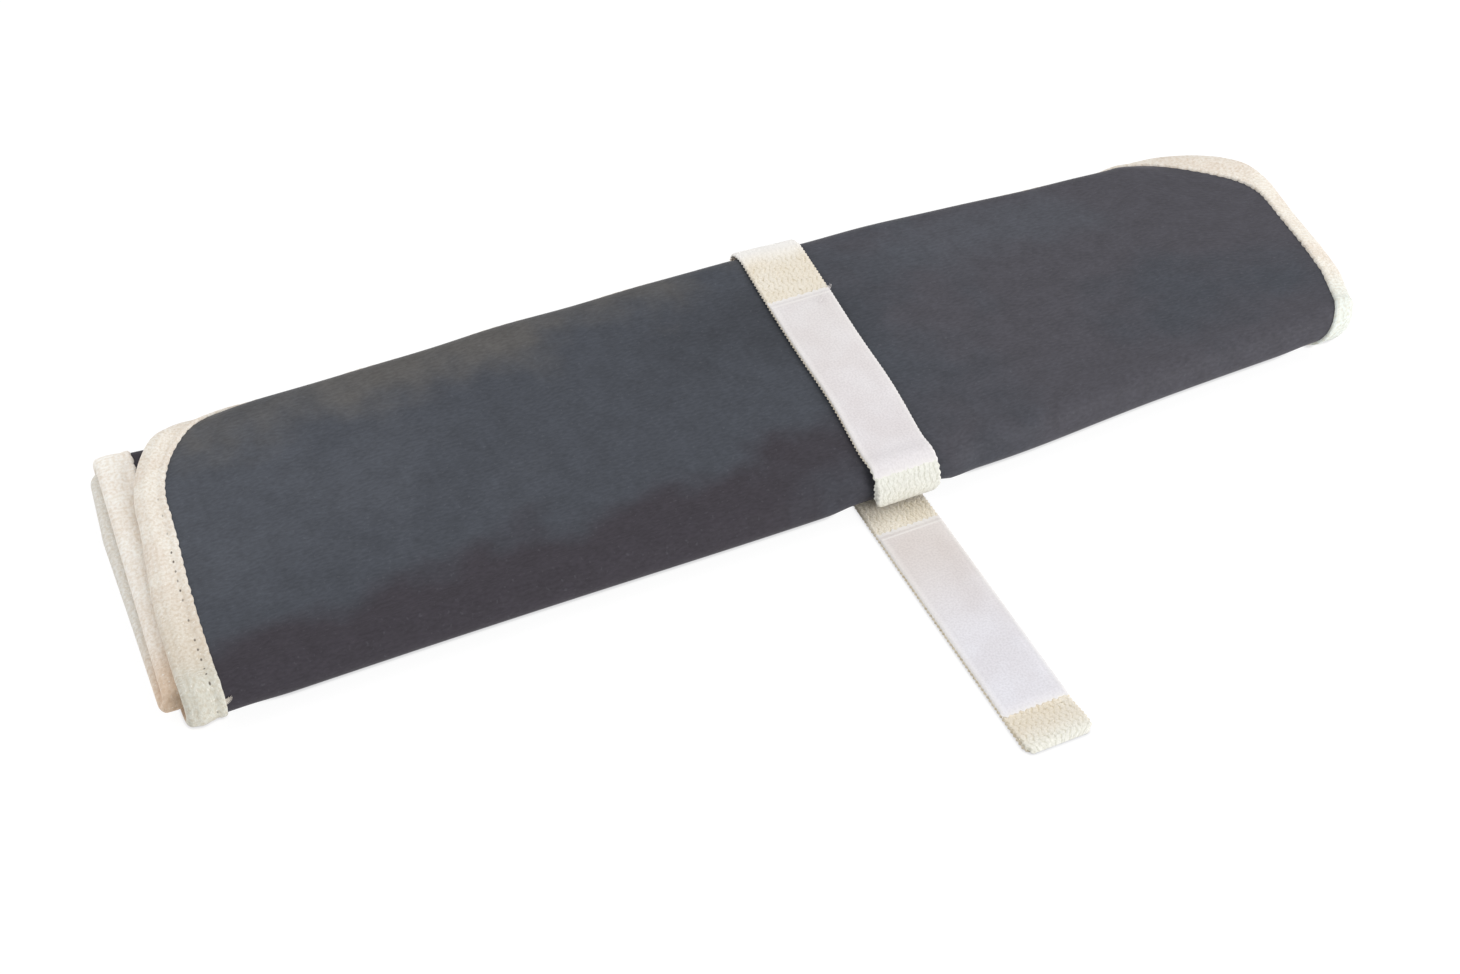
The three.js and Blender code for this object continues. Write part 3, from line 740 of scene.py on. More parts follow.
    def flap_slope(self, x: Array) -> Array:
        """Slope of the flap's top, which rises to the back."""
        return np.arctan2(self.flap_back_z - self.flap_front_z, self.flap_back_y(x) - self.hinge_y)

    def flap_runs(self, x: Array) -> Runs:
        """The flap's section, from the hinge line to its free edge.

        Args:
            x: places along the roll.

        Returns:
            The section at each place.
        """
        ones = np.ones_like(x)
        path = Runs(self.hinge_y * ones, self.flap_front_z * ones, self.flap_slope(x), 1)
        path.line_to_y(self.flap_back_y(x))
        radius = self.lip_radius / (1 - self.lip_flattening * ease(*self.lip_flattening_x, x))
        path.arc(radius, -self.lip_arc / radius)
        path.line(self.lip_drop * ones)
        return path

    def turns_runs(self, x: Array) -> Runs:
        """The section of the rest of the mat: front fold, bottom, back fold, second layer, inner fold, third layer.

        Args:
            x: places along the roll.

        Returns:
            The section at each place.
        """
        ones = np.ones_like(x)
        slope, low = self.flap_slope(x), self.underside_z(x)
        path = Runs(self.hinge_y * ones, self.flap_front_z * ones, math.pi + slope, -1)
        reach = self.hinge_y - self.front_y(x)
        half = (self.flap_front_z - low) / 2
        front = (half - reach * np.tan(slope) / 2) / (1 - np.tan(slope) / 2)
        path.line((reach - front) / np.cos(slope))
        path.arc((path.z - low) / (1 + np.cos(slope)), math.pi - slope)
        path.line_to_y(self.back_y(x))
        turn_y = self.front_y(x) + self.second_turn_y
        fall = np.arctan2(self.second_back_z - self.second_front_z, self.back_y(x) - turn_y)
        path.arc((self.second_back_z - low) / (1 + np.cos(fall)), math.pi + fall)
        path.line_to_y(turn_y)
        path.arc((path.z - self.third_z) / (1 + np.cos(fall)), math.pi - fall)
        path.line_to_y(self.back_y(x) - self.third_end)
        return path

    def wave(self, x: Array, q: Array) -> Array:
        """Slight unevenness of the outer cloth, from three crossing waves, which fades away under the roll."""
        dents = 0.22 * np.sin(x / 13.7 + 0.9) * np.sin(q / 17.0 + 0.5)
        slow, quick = 0.2 * np.sin(x / 27.0 - q / 31.0 + 2.0), 0.12 * np.sin(x / 8.3 + q / 11.0)
        return (dents + slow + quick) * ease(-self.split, -6, q) * ease(0, 14, self.flap_length + 6 - q)

    def place(self, runs: Runs, reference: list[float], x: Any, s: Any, h: Any, start: Any, share: Any) -> Array:
        """Points on a section, with the hang of the unsupported right margin.

        Args:
            runs: the sections at each x.
            reference: the run lengths that s is counted in.
            x: place along the flat cloth.
            s: distance along the section.
            h: height over the outer face.
            start: where along x the cloth stops being supported.
            share: how much of the hang it takes.

        Returns:
            Points, one row each, in millimetres.
        """
        starts = np.concatenate([[0], np.cumsum(reference)[:-1]])
        run = np.searchsorted(starts[1:], s, side="left")
        y, z, ny, nz = runs.locate(run, (s - starts[run]) / np.array(reference)[run])
        over = np.maximum(0, x - start)
        angle = np.minimum(over / self.droop_radius, math.radians(self.droop_angle))
        rest = over - angle * self.droop_radius
        across = self.droop_radius * np.sin(angle) + rest * np.cos(angle)
        inwards = self.droop_radius * (1 - np.cos(angle)) + rest * np.sin(angle)
        lift = h * np.cos(share * angle) - share * inwards
        along = x + share * (across - over) + h * np.sin(share * angle)
        return np.stack([along, y + lift * ny, z + lift * nz], -1)

    def flap(self, x: Array, s: Array, h: Array) -> Array:
        """Points on the flap."""
        start = np.interp(s, *self.flap_support)
        return self.place(self.flap_runs(x), self.flap_reference, x, s, h, start, 1.0)

    def turns(self, x: Array, s: Array, h: Array) -> Array:
        """Points on the layers below the flap."""
        start, share = np.interp(s, *self.front_support), 1 - ease(0, self.bottom_run, s)
        return self.place(self.turns_runs(x), self.turns_reference, x, s, h, start, share)

    def outside(self, x: Array, q: Array, h: Array) -> Array:
        """Points on the outside: the flap where q is positive, the front fold where it is negative.

        Args:
            x: place along the flat cloth.
            q: place across it.
            h: height over the outer face.

        Returns:
            Points in millimetres.
        """
        x, q, h = together(x, q, h)
        shape = x.shape
        x, q, h = x.ravel(), q.ravel(), (h + self.wave(x, q)).ravel()
        made = np.zeros((x.size, 3))
        top = q >= 0
        made[top] = self.flap(x[top], q[top], h[top])
        made[~top] = self.turns(x[~top], -q[~top], h[~top])
        return made.reshape(*shape, 3)

    def inside(self, x: Array, s: Array, h: Array) -> Array:
        """Points on the rolled layers; the innermost one is pressed up to the one above it at the left end.

        Args:
            x: place along the flat cloth.
            s: distance along the section.
            h: height over the outer face.

        Returns:
            Points in millimetres.
        """
        x, s, h = together(x, s, h)
        made = self.turns(x.ravel(), s.ravel(), h.ravel()).reshape(*x.shape, 3)
        turn = self.front_y(x) + self.second_turn_y
        share = np.clip((made[..., 1] - turn) / (self.back_y(x) - turn), 0, 1)
        above = self.second_front_z + (self.second_back_z - self.second_front_z) * share
        thick = self.stack + 2 * (self.tape_gap + self.tape)
        room = np.maximum(0, above - self.third_z - self.stack - thick + self.pressed_overlap)
        made[..., 2] += room * ease(*self.pressed_x, x) * ease(self.third_run, self.third_run + self.pressed_run, s)
        return made

    def edges(self, q: Array) -> tuple[Array, Array]:
        """Left and right cut edges of the outside at q."""
        left = np.where(q >= 0, np.interp(q, *self.flap_left), np.interp(-q, *self.turns_left))
        right = np.where(q >= 0, np.interp(q, *self.flap_right), np.interp(-q, *self.turns_right))
        return left, right

    def tuck(self, q: Array, facing: Array) -> Array:
        """How far the flap's left edge is drawn in at q, where the edge faces left by the share given."""
        return self.corner_tuck * ease(*self.corner_tuck_q, q) * ease(0, 0.75, facing)

    def cut(self, q: Array) -> tuple[Array, Array]:
        """Left and right cut edges of the outside, with the flap's rounded corners.

        Args:
            q: places across the flat mat.

        Returns:
            The two edges' x at each place.
        """
        sides = []
        for k, radius in enumerate((self.flap_left_corner, self.flap_right_corner)):
            edge = self.edges(np.minimum(q, self.flap_length - radius))[k]
            aslant = arch(np.clip(q - (self.flap_length - radius), 0, radius) / radius)
            inset, facing = radius * (1 - aslant), np.maximum(0.2, aslant)
            inset = inset + (self.tuck(q, facing) / facing if k == 0 else 0)
            sides.append(edge + inset * (1 - 2 * k))
        return sides[0], sides[1]


# ---- making pieces


def select(*pieces: Piece) -> None:
    """Select these pieces alone, the last one active."""
    bpy.ops.object.select_all(action="DESELECT")
    for piece in pieces:
        piece.select_set(True)
        bpy.context.view_layer.objects.active = piece


def lay(name: str, points: Array, flat: Array, turned: bool = False) -> Piece:
    """Cut a rectangle of cloth as a grid, and lay it along a surface.

    Args:
        name: the piece's name.
        points: where each point goes, rows by columns by 3, in millimetres.
        flat: its place on the flat cloth, rows by columns by 2, in millimetres.
        turned: whether the cloth's outer face is the grid's back.

    Returns:
        The cloth, one layer thick.
    """
    rows, columns = points.shape[:2]
    bpy.ops.object.select_all(action="DESELECT")
    bpy.ops.mesh.primitive_grid_add(x_subdivisions=columns - 1, y_subdivisions=rows - 1, size=2)
    piece = bpy.context.object
    piece.name = piece.data.name = name
    mesh = piece.data
    place = np.zeros(len(mesh.vertices) * 3)
    mesh.vertices.foreach_get("co", place)
    place = place.reshape(-1, 3)
    i = np.rint((place[:, 0] + 1) / 2 * (columns - 1)).astype(int)
    j = np.rint((place[:, 1] + 1) / 2 * (rows - 1)).astype(int)
    mesh.vertices.foreach_set("co", (points[j, i] * MM).ravel())
    corner = np.zeros(len(mesh.loops), dtype=np.int32)
    mesh.loops.foreach_get("vertex_index", corner)
    mesh.uv_layers[0].name = "flat"
    mesh.uv_layers[0].data.foreach_set("uv", (flat[j, i] * MM)[corner].ravel())
    if turned:
        mesh.flip_normals()
    mesh.update()
    return piece


def mark(piece: Piece, shape: tuple[int, ...], **values: Any) -> None:
    """Store values per point, for the finish to read.

    Args:
        piece: the piece, laid out as a grid.
        shape: its rows and columns.
        values: each value's name and what it is at each point.
    """
    for name, value in values.items():
        attribute = piece.data.attributes.new(name, "FLOAT", "POINT")
        attribute.data.foreach_set("value", np.broadcast_to(value, shape).ravel().astype(np.float32))


def thicken(piece: Piece, thickness_mm: float) -> None:
    """Give a cloth its thickness, inwards from its outer face, and shade it smooth.

    Args:
        piece: the cloth, one layer thick.
        thickness_mm: its thickness.
    """
    select(piece)
    solid = piece.modifiers.new("thickness", "SOLIDIFY")
    solid.thickness = thickness_mm * MM
    solid.offset = -1
    bpy.ops.object.modifier_apply(modifier=solid.name)
    bpy.ops.object.shade_smooth_by_angle(angle=math.radians(50))


def dress(piece: Piece, material: Material) -> None:
    """Give a piece its finish."""
    piece.data.materials.clear()
    piece.data.materials.append(material)


def spaced(*stretches: Point) -> Array:
    """Places along a line.

    Args:
        stretches: start, end and largest step of each stretch.

    Returns:
        The places, with both ends.
    """
    parts = []
    for start, end, step in stretches:
        count = max(1, math.ceil(abs(end - start) / step))
        parts.append(np.linspace(start, end, count + 1)[:-1])
    return np.concatenate([*parts, [stretches[-1][1]]])


@dataclass(frozen=True)
class Tuft:
    """Loose fibres that start beside each other and lean the same way, in millimetres on a surface."""

    root: Pair
    tip: Pair
    height: float
    count: int
    spread: float = 1.8
    radius: float = 0.13
    sunk: float = 0.6  # how high over the surface they start, inside the cloth
    sections: int = 7
    corners: tuple[float, ...] = (90.0, 210.0, 330.0)

    def fibres(self) -> list[Array]:
        """Start, middle and end of each fibre."""
        made = []
        for i in range(self.count):
            aside = self.spread * (i / max(1, self.count - 1) - 0.5)
            wander = self.spread * 0.4 * math.sin(2.7 * i + 1)
            start = np.array([self.root[0] + 0.3 * wander, self.root[1] + aside, self.sunk])
            high = self.height * (0.7 + 0.3 * math.cos(1.9 * i))
            end = np.array([self.tip[0] + wander, self.tip[1] + 0.35 * aside, high])
            lean = np.array([0.15 * self.spread, -0.15 * self.spread, 0.2 * self.height])
            made.append(np.stack([start, (start + end) / 2 + lean, end]))
        return made

    def join(self, piece: Piece, surface: Surface, *threads: Array) -> None:
        """Join the fibres to a piece, each a thin three-sided thread that tapers to its end.

        Args:
            piece: the piece they stand out from.
            surface: the surface their places are counted on.
            threads: start, middle and end of other loose threads.
        """
        points, faces = [], []
        share = np.linspace(0, 1, self.sections)[:, None]
        ring = np.radians(self.corners)
        for start, middle, end in [*self.fibres(), *threads]:
            bend = (1 - share) ** 2 * start + 2 * share * (1 - share) * middle + share**2 * end
            line = surface(bend[:, 0], bend[:, 1], bend[:, 2])
            way = np.gradient(line, axis=0)
            side = np.cross(way, (0.0, 0.0, 1.0))
            side = side / np.linalg.norm(side, axis=1, keepdims=True)
            above = np.cross(side, way)
            above = above / np.linalg.norm(above, axis=1, keepdims=True)
            first = len(points)
            for i, place in enumerate(line):
                radius = self.radius * (1 - 0.8 * share[i, 0])
                points.extend(place + radius * (np.cos(a) * side[i] + np.sin(a) * above[i]) for a in ring)
            for a in range(first, len(points) - 3, 3):
                faces.extend((a + k, a + (k + 1) % 3, a + 3 + (k + 1) % 3, a + 3 + k) for k in range(3))
            faces.append((first + 2, first + 1, first))
            faces.append(tuple(range(len(points) - 3, len(points))))
        mesh = bpy.data.meshes.new(f"{piece.name}_fibres")
        mesh.from_pydata([tuple(p * MM) for p in points], [], faces)
        mesh.uv_layers.new(name="flat")
        mesh.materials.append(piece.data.materials[0])
        loose = bpy.data.objects.new(mesh.name, mesh)
        bpy.context.scene.collection.objects.link(loose)
        select(loose, piece)
        bpy.ops.object.join()


@dataclass
class Canvas:
    """The waxed canvas and its lining: the flap with the front fold, and the rolled layers below it."""

    shape: RollShape
    canvas: Material
    cotton: Material
    seam: float = 0.3  # the linings start this far from the hinge line

    def ply(self, name: str, flap: bool, lining: bool, rows: Array, edges: tuple[Array, Array]) -> Piece:
        """Lay one ply of the mat.

        Args:
            name: the piece's name.
            flap: whether it lies on the outside with the flap, or in the rolled layers.
            lining: whether it is the lining, whose face looks into the roll, or the canvas.
            rows: places across the flat mat.
            edges: its left and right edge at each of them.

        Returns:
            The ply.
        """
        shape = self.shape
        columns = spaced((0, 24, 3), (24, 440, 4), (440, 500, 1.2))  # closer together at the two ends
        left, right = edges
        x = left + (right - left) * (columns / columns[-1])[None, :]
        surface = shape.outside if flap else shape.inside
        points = surface(x, rows, -shape.stack if lining else 0.0)
        flat = np.stack(np.broadcast_arrays(x, rows if flap else -rows), -1)
        piece = lay(name, points, flat, turned=lining == flap)
        thicken(piece, shape.lining if lining else shape.shell)
        dress(piece, self.cotton if lining else self.canvas)
        return piece

    def upper(self) -> list[Piece]:
        """The flap with the front fold, and the flap's lining."""
        shape = self.shape
        length = shape.flap_length
        lip = length - shape.lip_length
        q = spaced((-shape.split, 6, 1.1), (6, lip, 2.4), (lip, length, 1.3))[:, None]
        canvas = self.ply("flap_canvas", True, False, q, shape.cut(q))
        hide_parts("flap_shell")
        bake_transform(canvas)
        q = spaced((self.seam, lip, 3), (lip, length, 1.6))[:, None]
        lining = self.ply("flap_lining_cotton", True, True, q, shape.cut(q))
        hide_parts("flap_lining")
        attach(lining, Body.FLAP)
        return [canvas, lining]

    def layers(self, name: str, node: str, start: float, lining: bool) -> Piece:
        """One ply of the rolled layers.

        Args:
            name: the piece's name.
            node: the solid that it stands for.
            start: distance from the hinge line where it starts.
            lining: whether it is the lining or the canvas.

        Returns:
            The ply.
        """
        shape = self.shape
        corner, end = shape.inner_corner, shape.turns_length
        rise = shape.second_run - 26
        s = spaced(
            (start, shape.bottom_run, 1.4),
            (shape.bottom_run, rise, 4),
            (rise, shape.second_run, 1.4),
            (shape.second_run, shape.inner_run, 4),
            (shape.inner_run, shape.third_run, 0.8),
            (shape.third_run, end - corner, 4),
            (end - corner, end, 0.75),
        )[:, None]
        inset = corner * (1 - arch(np.maximum(0, s - end + corner) / corner))
        edges = (np.interp(s, *shape.turns_left) + inset, np.interp(s, *shape.turns_right) - inset)
        piece = self.ply(name, False, lining, s, edges)
        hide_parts(node)
        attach(piece, Body.MAT)
        return piece

    def build(self) -> list[Piece]:
        """Make the four plies."""
        lower = self.layers("roll_canvas", "turns_shell", self.shape.split, False)
        lining = self.layers("roll_lining_cotton", "turns_lining", self.seam, True)
        return [*self.upper(), lower, lining]


@dataclass
class Binding:
    """Cotton tape folded over the mat's cut edges and stitched through."""

    shape: RollShape
    tape: Material
    inner_tape: Material
    stitch_line: float = 9.0
    stitch_pitch: float = 4.7
    stitch_dip: float = 0.4
    scallop: float = 0.5
    cloth: float = 0.5
    bed: float = 0.05  # the tape's inner edge lies this far over the canvas
    puff_width: float = 7.2
    seam_dip: float = 0.3
    seam_spread: float = 1.1
    edge_round: float = 1.1
    fold_start: float = 0.6
    fold_points: int = 13
    below: tuple[float, ...] = (2.5, 5.0, 7.5, 10.0)
    swell: float = 0.16
    sewn_q: Pair = (92.0, 76.0)  # the needle holes show on the left side up to here
    # the next six place the tapes' painted shade and painted cool tint
    aged_q: Pair = (55.0, 5.0)
    aged_share: float = 0.55
    cool_left: Pair = (12.0, -12.0)
    cool_right: Pair = (30.0, -14.0)
    inner_aged_y: Pair = (-14.0, -62.0)
    inner_cool_run: float = 25.0
    flap_steps: Pair = (0.6, 0.75)  # spacing of the drawn points along and across
    flap_puff: float = 0.55
    inner_steps: Pair = (1.0, 1.1)
    inner_puff: float = 0.25
    tuft: Tuft = Tuft((-229.0, -16.8), (-227.0, -15.7), 0.9, 20)

    def profile(self, step: float, puff: float) -> tuple[Array, Array]:
        """The tape's fold, from its inner edge on top, round the cut edge, to its inner edge below.

        Args:
            step: spacing of the points on the flat part.
            puff: how far the tape swells between its seam and its fold.

        Returns:
            Distances in from the cut edge, and heights over the canvas.
        """
        shape = self.shape
        width, over = shape.tape_width, shape.tape_gap + shape.tape
        top = np.concatenate([[width, width - 0.12, width - 0.4, width - 0.9], np.arange(width - 1.5, 0.7, -step)])
        crown = over - self.bed + puff * np.sin(np.pi * np.clip(top / self.puff_width, 0, 1)) ** 2
        seam = self.seam_dip * bell(top - self.stitch_line, self.seam_spread)
        near_edge = np.clip(top - (width - self.edge_round), 0, self.edge_round) / self.edge_round
        rise = self.bed + (crown - seam - self.bed) * arch(near_edge)
        half = over + shape.stack / 2
        turn = np.radians(np.linspace(0, 180, self.fold_points))
        fold = self.fold_start - (self.fold_start + shape.tape_edge + 0.1) * np.sin(turn)
        bend = -shape.stack / 2 + half * np.cos(turn)
        below = np.array([*self.below, width - 0.8, width - 0.3, width])
        under = np.array([*[over] * (len(self.below) + 1), over * 0.8, 0.1])
        return np.concatenate([top, fold, below]), np.concatenate([rise, bend, -shape.stack - under])

    def wrap(self, name: str, path: dict[str, Array], surface: Surface, step: float, puff: float, flap: bool) -> Piece:
        """Fold the tape along a path on the flat mat.

        Args:
            name: the piece's name.
            path: x, q and the inward direction wx, wq at each ring.
            surface: the rolled surface.
            step: spacing of the points across the tape.
            puff: how far it swells.
            flap: whether it is the flap's tape, whose outer face is the grid's back.

        Returns:
            The tape.
        """
        shape = self.shape
        width = shape.tape_width
        w, h = (values[None, :] for values in self.profile(step, puff))
        x, q, wx, wq = (path[k][:, None] for k in ("x", "q", "wx", "wq"))
        on_left = wx > 0.5
        top = np.arange(w.size)[None, :] < w.size - self.fold_points - len(self.below) - 3
        tuck = shape.tuck(q, wx) * float(flap)
        length = np.concatenate([[0], np.cumsum(np.hypot(np.diff(path["x"]), np.diff(path["q"])))])[:, None]
        phase = length / self.stitch_pitch
        uneven = np.sin(length * 0.37 + 1.1) * np.sin(length * 0.083)
        scallop = self.scallop * (1 + 0.5 * uneven) * (0.4 + 0.6 * ease(0, 40, q))
        pull = (np.abs(np.sin(np.pi * phase)) ** 0.7 - 0.55) * scallop
        wide = w + pull * np.clip((w - self.stitch_line) / (width - self.stitch_line), 0, 1) ** 2
        wide = tuck + wide * np.where(wide > 0, 1 - tuck / width, 1)
        hole = bell(w - self.stitch_line, 0.75) * top * bell(((phase % 1) - 0.5) * self.stitch_pitch, 0.75)
        swell = self.swell * np.sin(length / 9.0 + 0.6 * np.sin(length / 4.1)) * np.clip(w / 6, 0, 1) * top
        sewn = np.where(on_left, ease(*self.sewn_q, q), 0.0) * float(flap)
        high = h - self.stitch_dip * hole * (0.3 + 0.7 * sewn) + swell * (h > 0.3)
        points = surface(x + wx * wide, q + wq * wide, high)
        grid = points.shape[:2]
        piece = lay(name, points, np.stack(np.broadcast_arrays(w, length), -1), turned=flap)
        if flap:
            # painted shade on the left front of the flap's tape
            aged = self.aged_share * ease(*self.aged_q, q)
            # painted cool light on the right front of the flap's tape, and a cool grey in its painted shade on the left
            # front
            cool = np.where(on_left, 0.9 * ease(*self.cool_left, q), 0.8 * ease(*self.cool_right, q))
        else:
            # painted shade at the low front end of the inner layers' tape
            aged = ease(*self.inner_aged_y, points[..., 1])
            third = shape.third_run
            # a cool grey painted shade on the innermost layer's left strip
            cool = np.where(on_left, 0.85 * ease(third, third + self.inner_cool_run, q), 0.0)
        mark(piece, grid, sewn=sewn, cool=cool, aged=np.where(on_left, aged, 0.0))
        thicken(piece, self.cloth)
        dress(piece, self.tape if flap else self.inner_tape)
        return piece

    def path(
        self, left: Marks, right: Marks, start: float, end: float, radii: Pair, step: float
    ) -> dict[str, Array]:
        """Up the left edge, round the far end with its corners, and down the right edge.

        Args:
            left: the left cut edge's marks.
            right: the right cut edge's marks.
            start: distance where both sides start.
            end: distance of the far end.
            radii: left and right corner radius.
            step: spacing of the rings.

        Returns:
            x, q and the inward direction at each ring.
        """
        up, down = (spaced((start, end - radius, step))[:-1] for radius in radii)
        rows = [together(np.interp(up, *left), up, 1, 0)]
        cx = float(np.interp(end - radii[0], *left)) + radii[0]
        dx = float(np.interp(end - radii[1], *right)) - radii[1]
        for middle, radius, first in ((cx, radii[0], math.pi), (dx, radii[1], math.pi / 2)):
            count = max(8, math.ceil(radius * math.pi / 2 / step))
            a = first - np.linspace(0, math.pi / 2, count + 1)
            inwards = (-np.cos(a), -np.sin(a))
            rows.append(together(middle + radius * np.cos(a), end - radius + radius * np.sin(a), *inwards))
            if first == math.pi:
                rows.append(together(spaced((cx, dx, step))[1:-1], end, 0, -1))
        rows.append(together(np.interp(down[::-1], *right), down[::-1], -1, 0))
        return dict(zip(("x", "q", "wx", "wq"), np.concatenate(rows, axis=1)))

    def build(self) -> list[Piece]:
        """Bind the flap with the front fold, and the rolled layers."""
        shape = self.shape
        marks = []
        for fold, flap in ((shape.turns_left, shape.flap_left), (shape.turns_right, shape.flap_right)):
            low = -np.array(fold[0][2:0:-1], float)
            marks.append((np.concatenate([low, flap[0]]), np.concatenate([fold[1][2:0:-1], flap[1]])))
        corners = (shape.flap_left_corner, shape.flap_right_corner)
        path = self.path(*marks, -shape.split, shape.flap_length, corners, self.flap_steps[0])
        upper = self.wrap("flap_tape", path, shape.outside, self.flap_steps[1], self.flap_puff, True)
        self.tuft.join(upper, shape.outside)
        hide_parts("flap_binding")
        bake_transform(upper)
        inner = (shape.inner_corner, shape.inner_corner)
        edges = (shape.turns_left, shape.turns_right)
        path = self.path(*edges, shape.split, shape.turns_length, inner, self.inner_steps[0])
        lower = self.wrap("roll_tape", path, shape.inside, self.inner_steps[1], self.inner_puff, False)
        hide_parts("turns_binding")
        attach(lower, Body.MAT)
        return [upper, lower]


@dataclass
class Face:
    """The upper face of a ribbon: offsets across and places along it, heights over its lower face, and its tone."""

    across: Array
    along: Array
    top: Array
    tone: Array


@dataclass
class Strap:
    """The webbing strap with its loop patch over the roll, its run below, and its tail with the hook patch."""

    shape: RollShape
    webbing: Material
    loop: Material
    hook: Material
    width: float = 26.6
    thick: float = 1.5
    shell_share: float = 0.47  # how much of its thickness the drawn shell of the webbing takes
    patch_width: float = 26.3
    patch_thick: float = 0.85
    patch_shell_share: float = 0.6
    patch_sunk: float = 0.15
    edge_round: float = 0.8
    edge_pick: float = 1.9  # pitch of the bumps along both edges
    bow: float = 1.3
    bow_q: Pair = (26.0, 24.0)
    aside: float = -0.9
    pale_fold: Pair = (104.0, 117.0)  # the webbing is whiter where it turns down at the back
    pale_share: float = 0.9
    # painted highlight on the strap's selvages
    selvage_highlight: float = 0.8
    # painted cool light on the hanging end over this stretch
    tip_cool: Pair = (-4.0, -14.0)
    loop_back: float = 85.0
    loop_front: float = 13.5
    seam_inset: float = 2.4
    seam_pitch: float = 2.8
    seam_arc: float = 17.0
    tip_drop: float = 23.2
    tip_stand_off: float = 2.3
    tip_hem: float = 8.0
    tip_bend: float = 5.0  # its end bends over this distance on both sides of the hinge line
    tip_bend_z: float = 20.0
    tape_ramp: Pair = (9.0, 1.0)  # it climbs onto the flap's tape over this stretch before it
    seam_gap: float = 0.15
    end_gap: float = 0.2
    hem_gap: float = 0.1
    tuft_height: float = 3.3
    tuft_count: int = 12
    tuft_radius: float = 0.17
    loose_thread: tuple[Point, ...] = ((5.6, -8.4, 3.0), (9.5, -5.0, 3.4), (12.9, 0.6, 3.3))
    tail_x: float = 28.0
    tail_start: float = -70.0
    tail_cuts: Pair = (-87.5, -135.0)
    tail_hinge_y: float = -76.5
    tail_riser: float = 20.5
    tail_patch_start: float = 2.1
    tail_patch_length: float = 95.5
    tail_tab: float = 17.2
    tail_hem: float = 14.5
    tail_hem_slope: float = 9.5
    tail_bend: float = 2.5
    tail_bend_z: float = 2.0
    tab_gap: float = 0.8
    tab_tip: float = 0.6
    tab_round: float = 2.2
    tab_rise: float = 0.3
    tab_seam_rise: float = 0.25
    # painted cool light on the tab's end over this stretch
    tab_cool: Pair = (9.0, -2.0)
    floor_gap: float = 0.2
    riser_radius: float = 4.5
    riser_turn: float = 60.0
    riser_set_back: float = 1.3
    rib_pitch: float = 2.2
    rib_wave: float = 4.2
    rib_swing: float = 0.5
    rib_groove: float = 0.36
    rib_height: float = 0.21
    corner: float = 3.0
    shortest_sheet: float = 0.0101

    def ribs(self, aside: Array, length: Array) -> Array:
        """How high the wavy ribs stand.

        Args:
            aside: offsets from the webbing's middle.
            length: places along it.

        Returns:
            Heights from 0 in a groove to 1 on a crown.
        """
        drift = 0.16 * np.sin(aside * 0.83 + 1.3) + 0.2 * np.sin(length * 0.31 + aside * 0.21)
        swing = np.sin(2 * np.pi * (length / self.rib_wave + drift))
        phase = (aside + self.rib_swing * swing + 0.18 * np.sin(length * 0.47)) / self.rib_pitch
        rib = np.rint(phase)
        depth = 0.74 + 0.26 * np.sin(length * 1.3 + 2.4 * rib) * np.sin(length * 0.37 + 1.7 * rib)
        crown = 1 - depth * bell(np.abs(phase - rib) * self.rib_pitch, self.rib_groove)
        pick = 0.5 + 0.5 * np.cos(2 * np.pi * (length / (self.rib_wave / 3) + 0.5 * np.rint(phase - 0.5)))
        return crown * (0.6 + 0.4 * pick)

    def ribbed(self, aside: Array, length: Array, rise: Array, tip: bool, painted_light_share: Array, selvage: float) -> Face:
        """The face of a length of webbing, with wavy ribs between bumpy selvages.

        Args:
            aside: offsets from its middle.
            length: places along it.
            rise: its thickness at each point.
            tip: whether its first end has rounded corners.
            painted_light_share: how much painted cool light it has at each place.
            selvage: how much painted highlight its selvages get.

        Returns:
            The face.
        """
        half = self.width / 2
        edge = np.clip((np.abs(aside) - (half - self.edge_round)) / self.edge_round, 0, 1)
        rounding = arch(edge)
        rib = self.ribs(aside, length)
        height = self.rib_height * (1 - 0.4 * painted_light_share)
        top = rise * (0.35 + 0.65 * rounding) + height * (rib - 0.75) * rounding
        bumpy = 0.32 * np.sin(2 * np.pi * length / self.edge_pick) * (np.abs(aside) / half) ** 10
        short = np.clip(self.corner - np.abs(length - length[0]), 0, self.corner) * tip
        narrow = self.corner * (1 - arch(short / self.corner))
        across = aside * (1 - narrow / half) + np.sign(aside) * bumpy
        # painted shade in the grooves and towards the rounded edges, and the selvages' painted highlight
        tone = np.clip(rib * (0.3 + 0.7 * rounding) + selvage * (1 - rounding), 0, 1)
        return Face(across, length, top, tone)

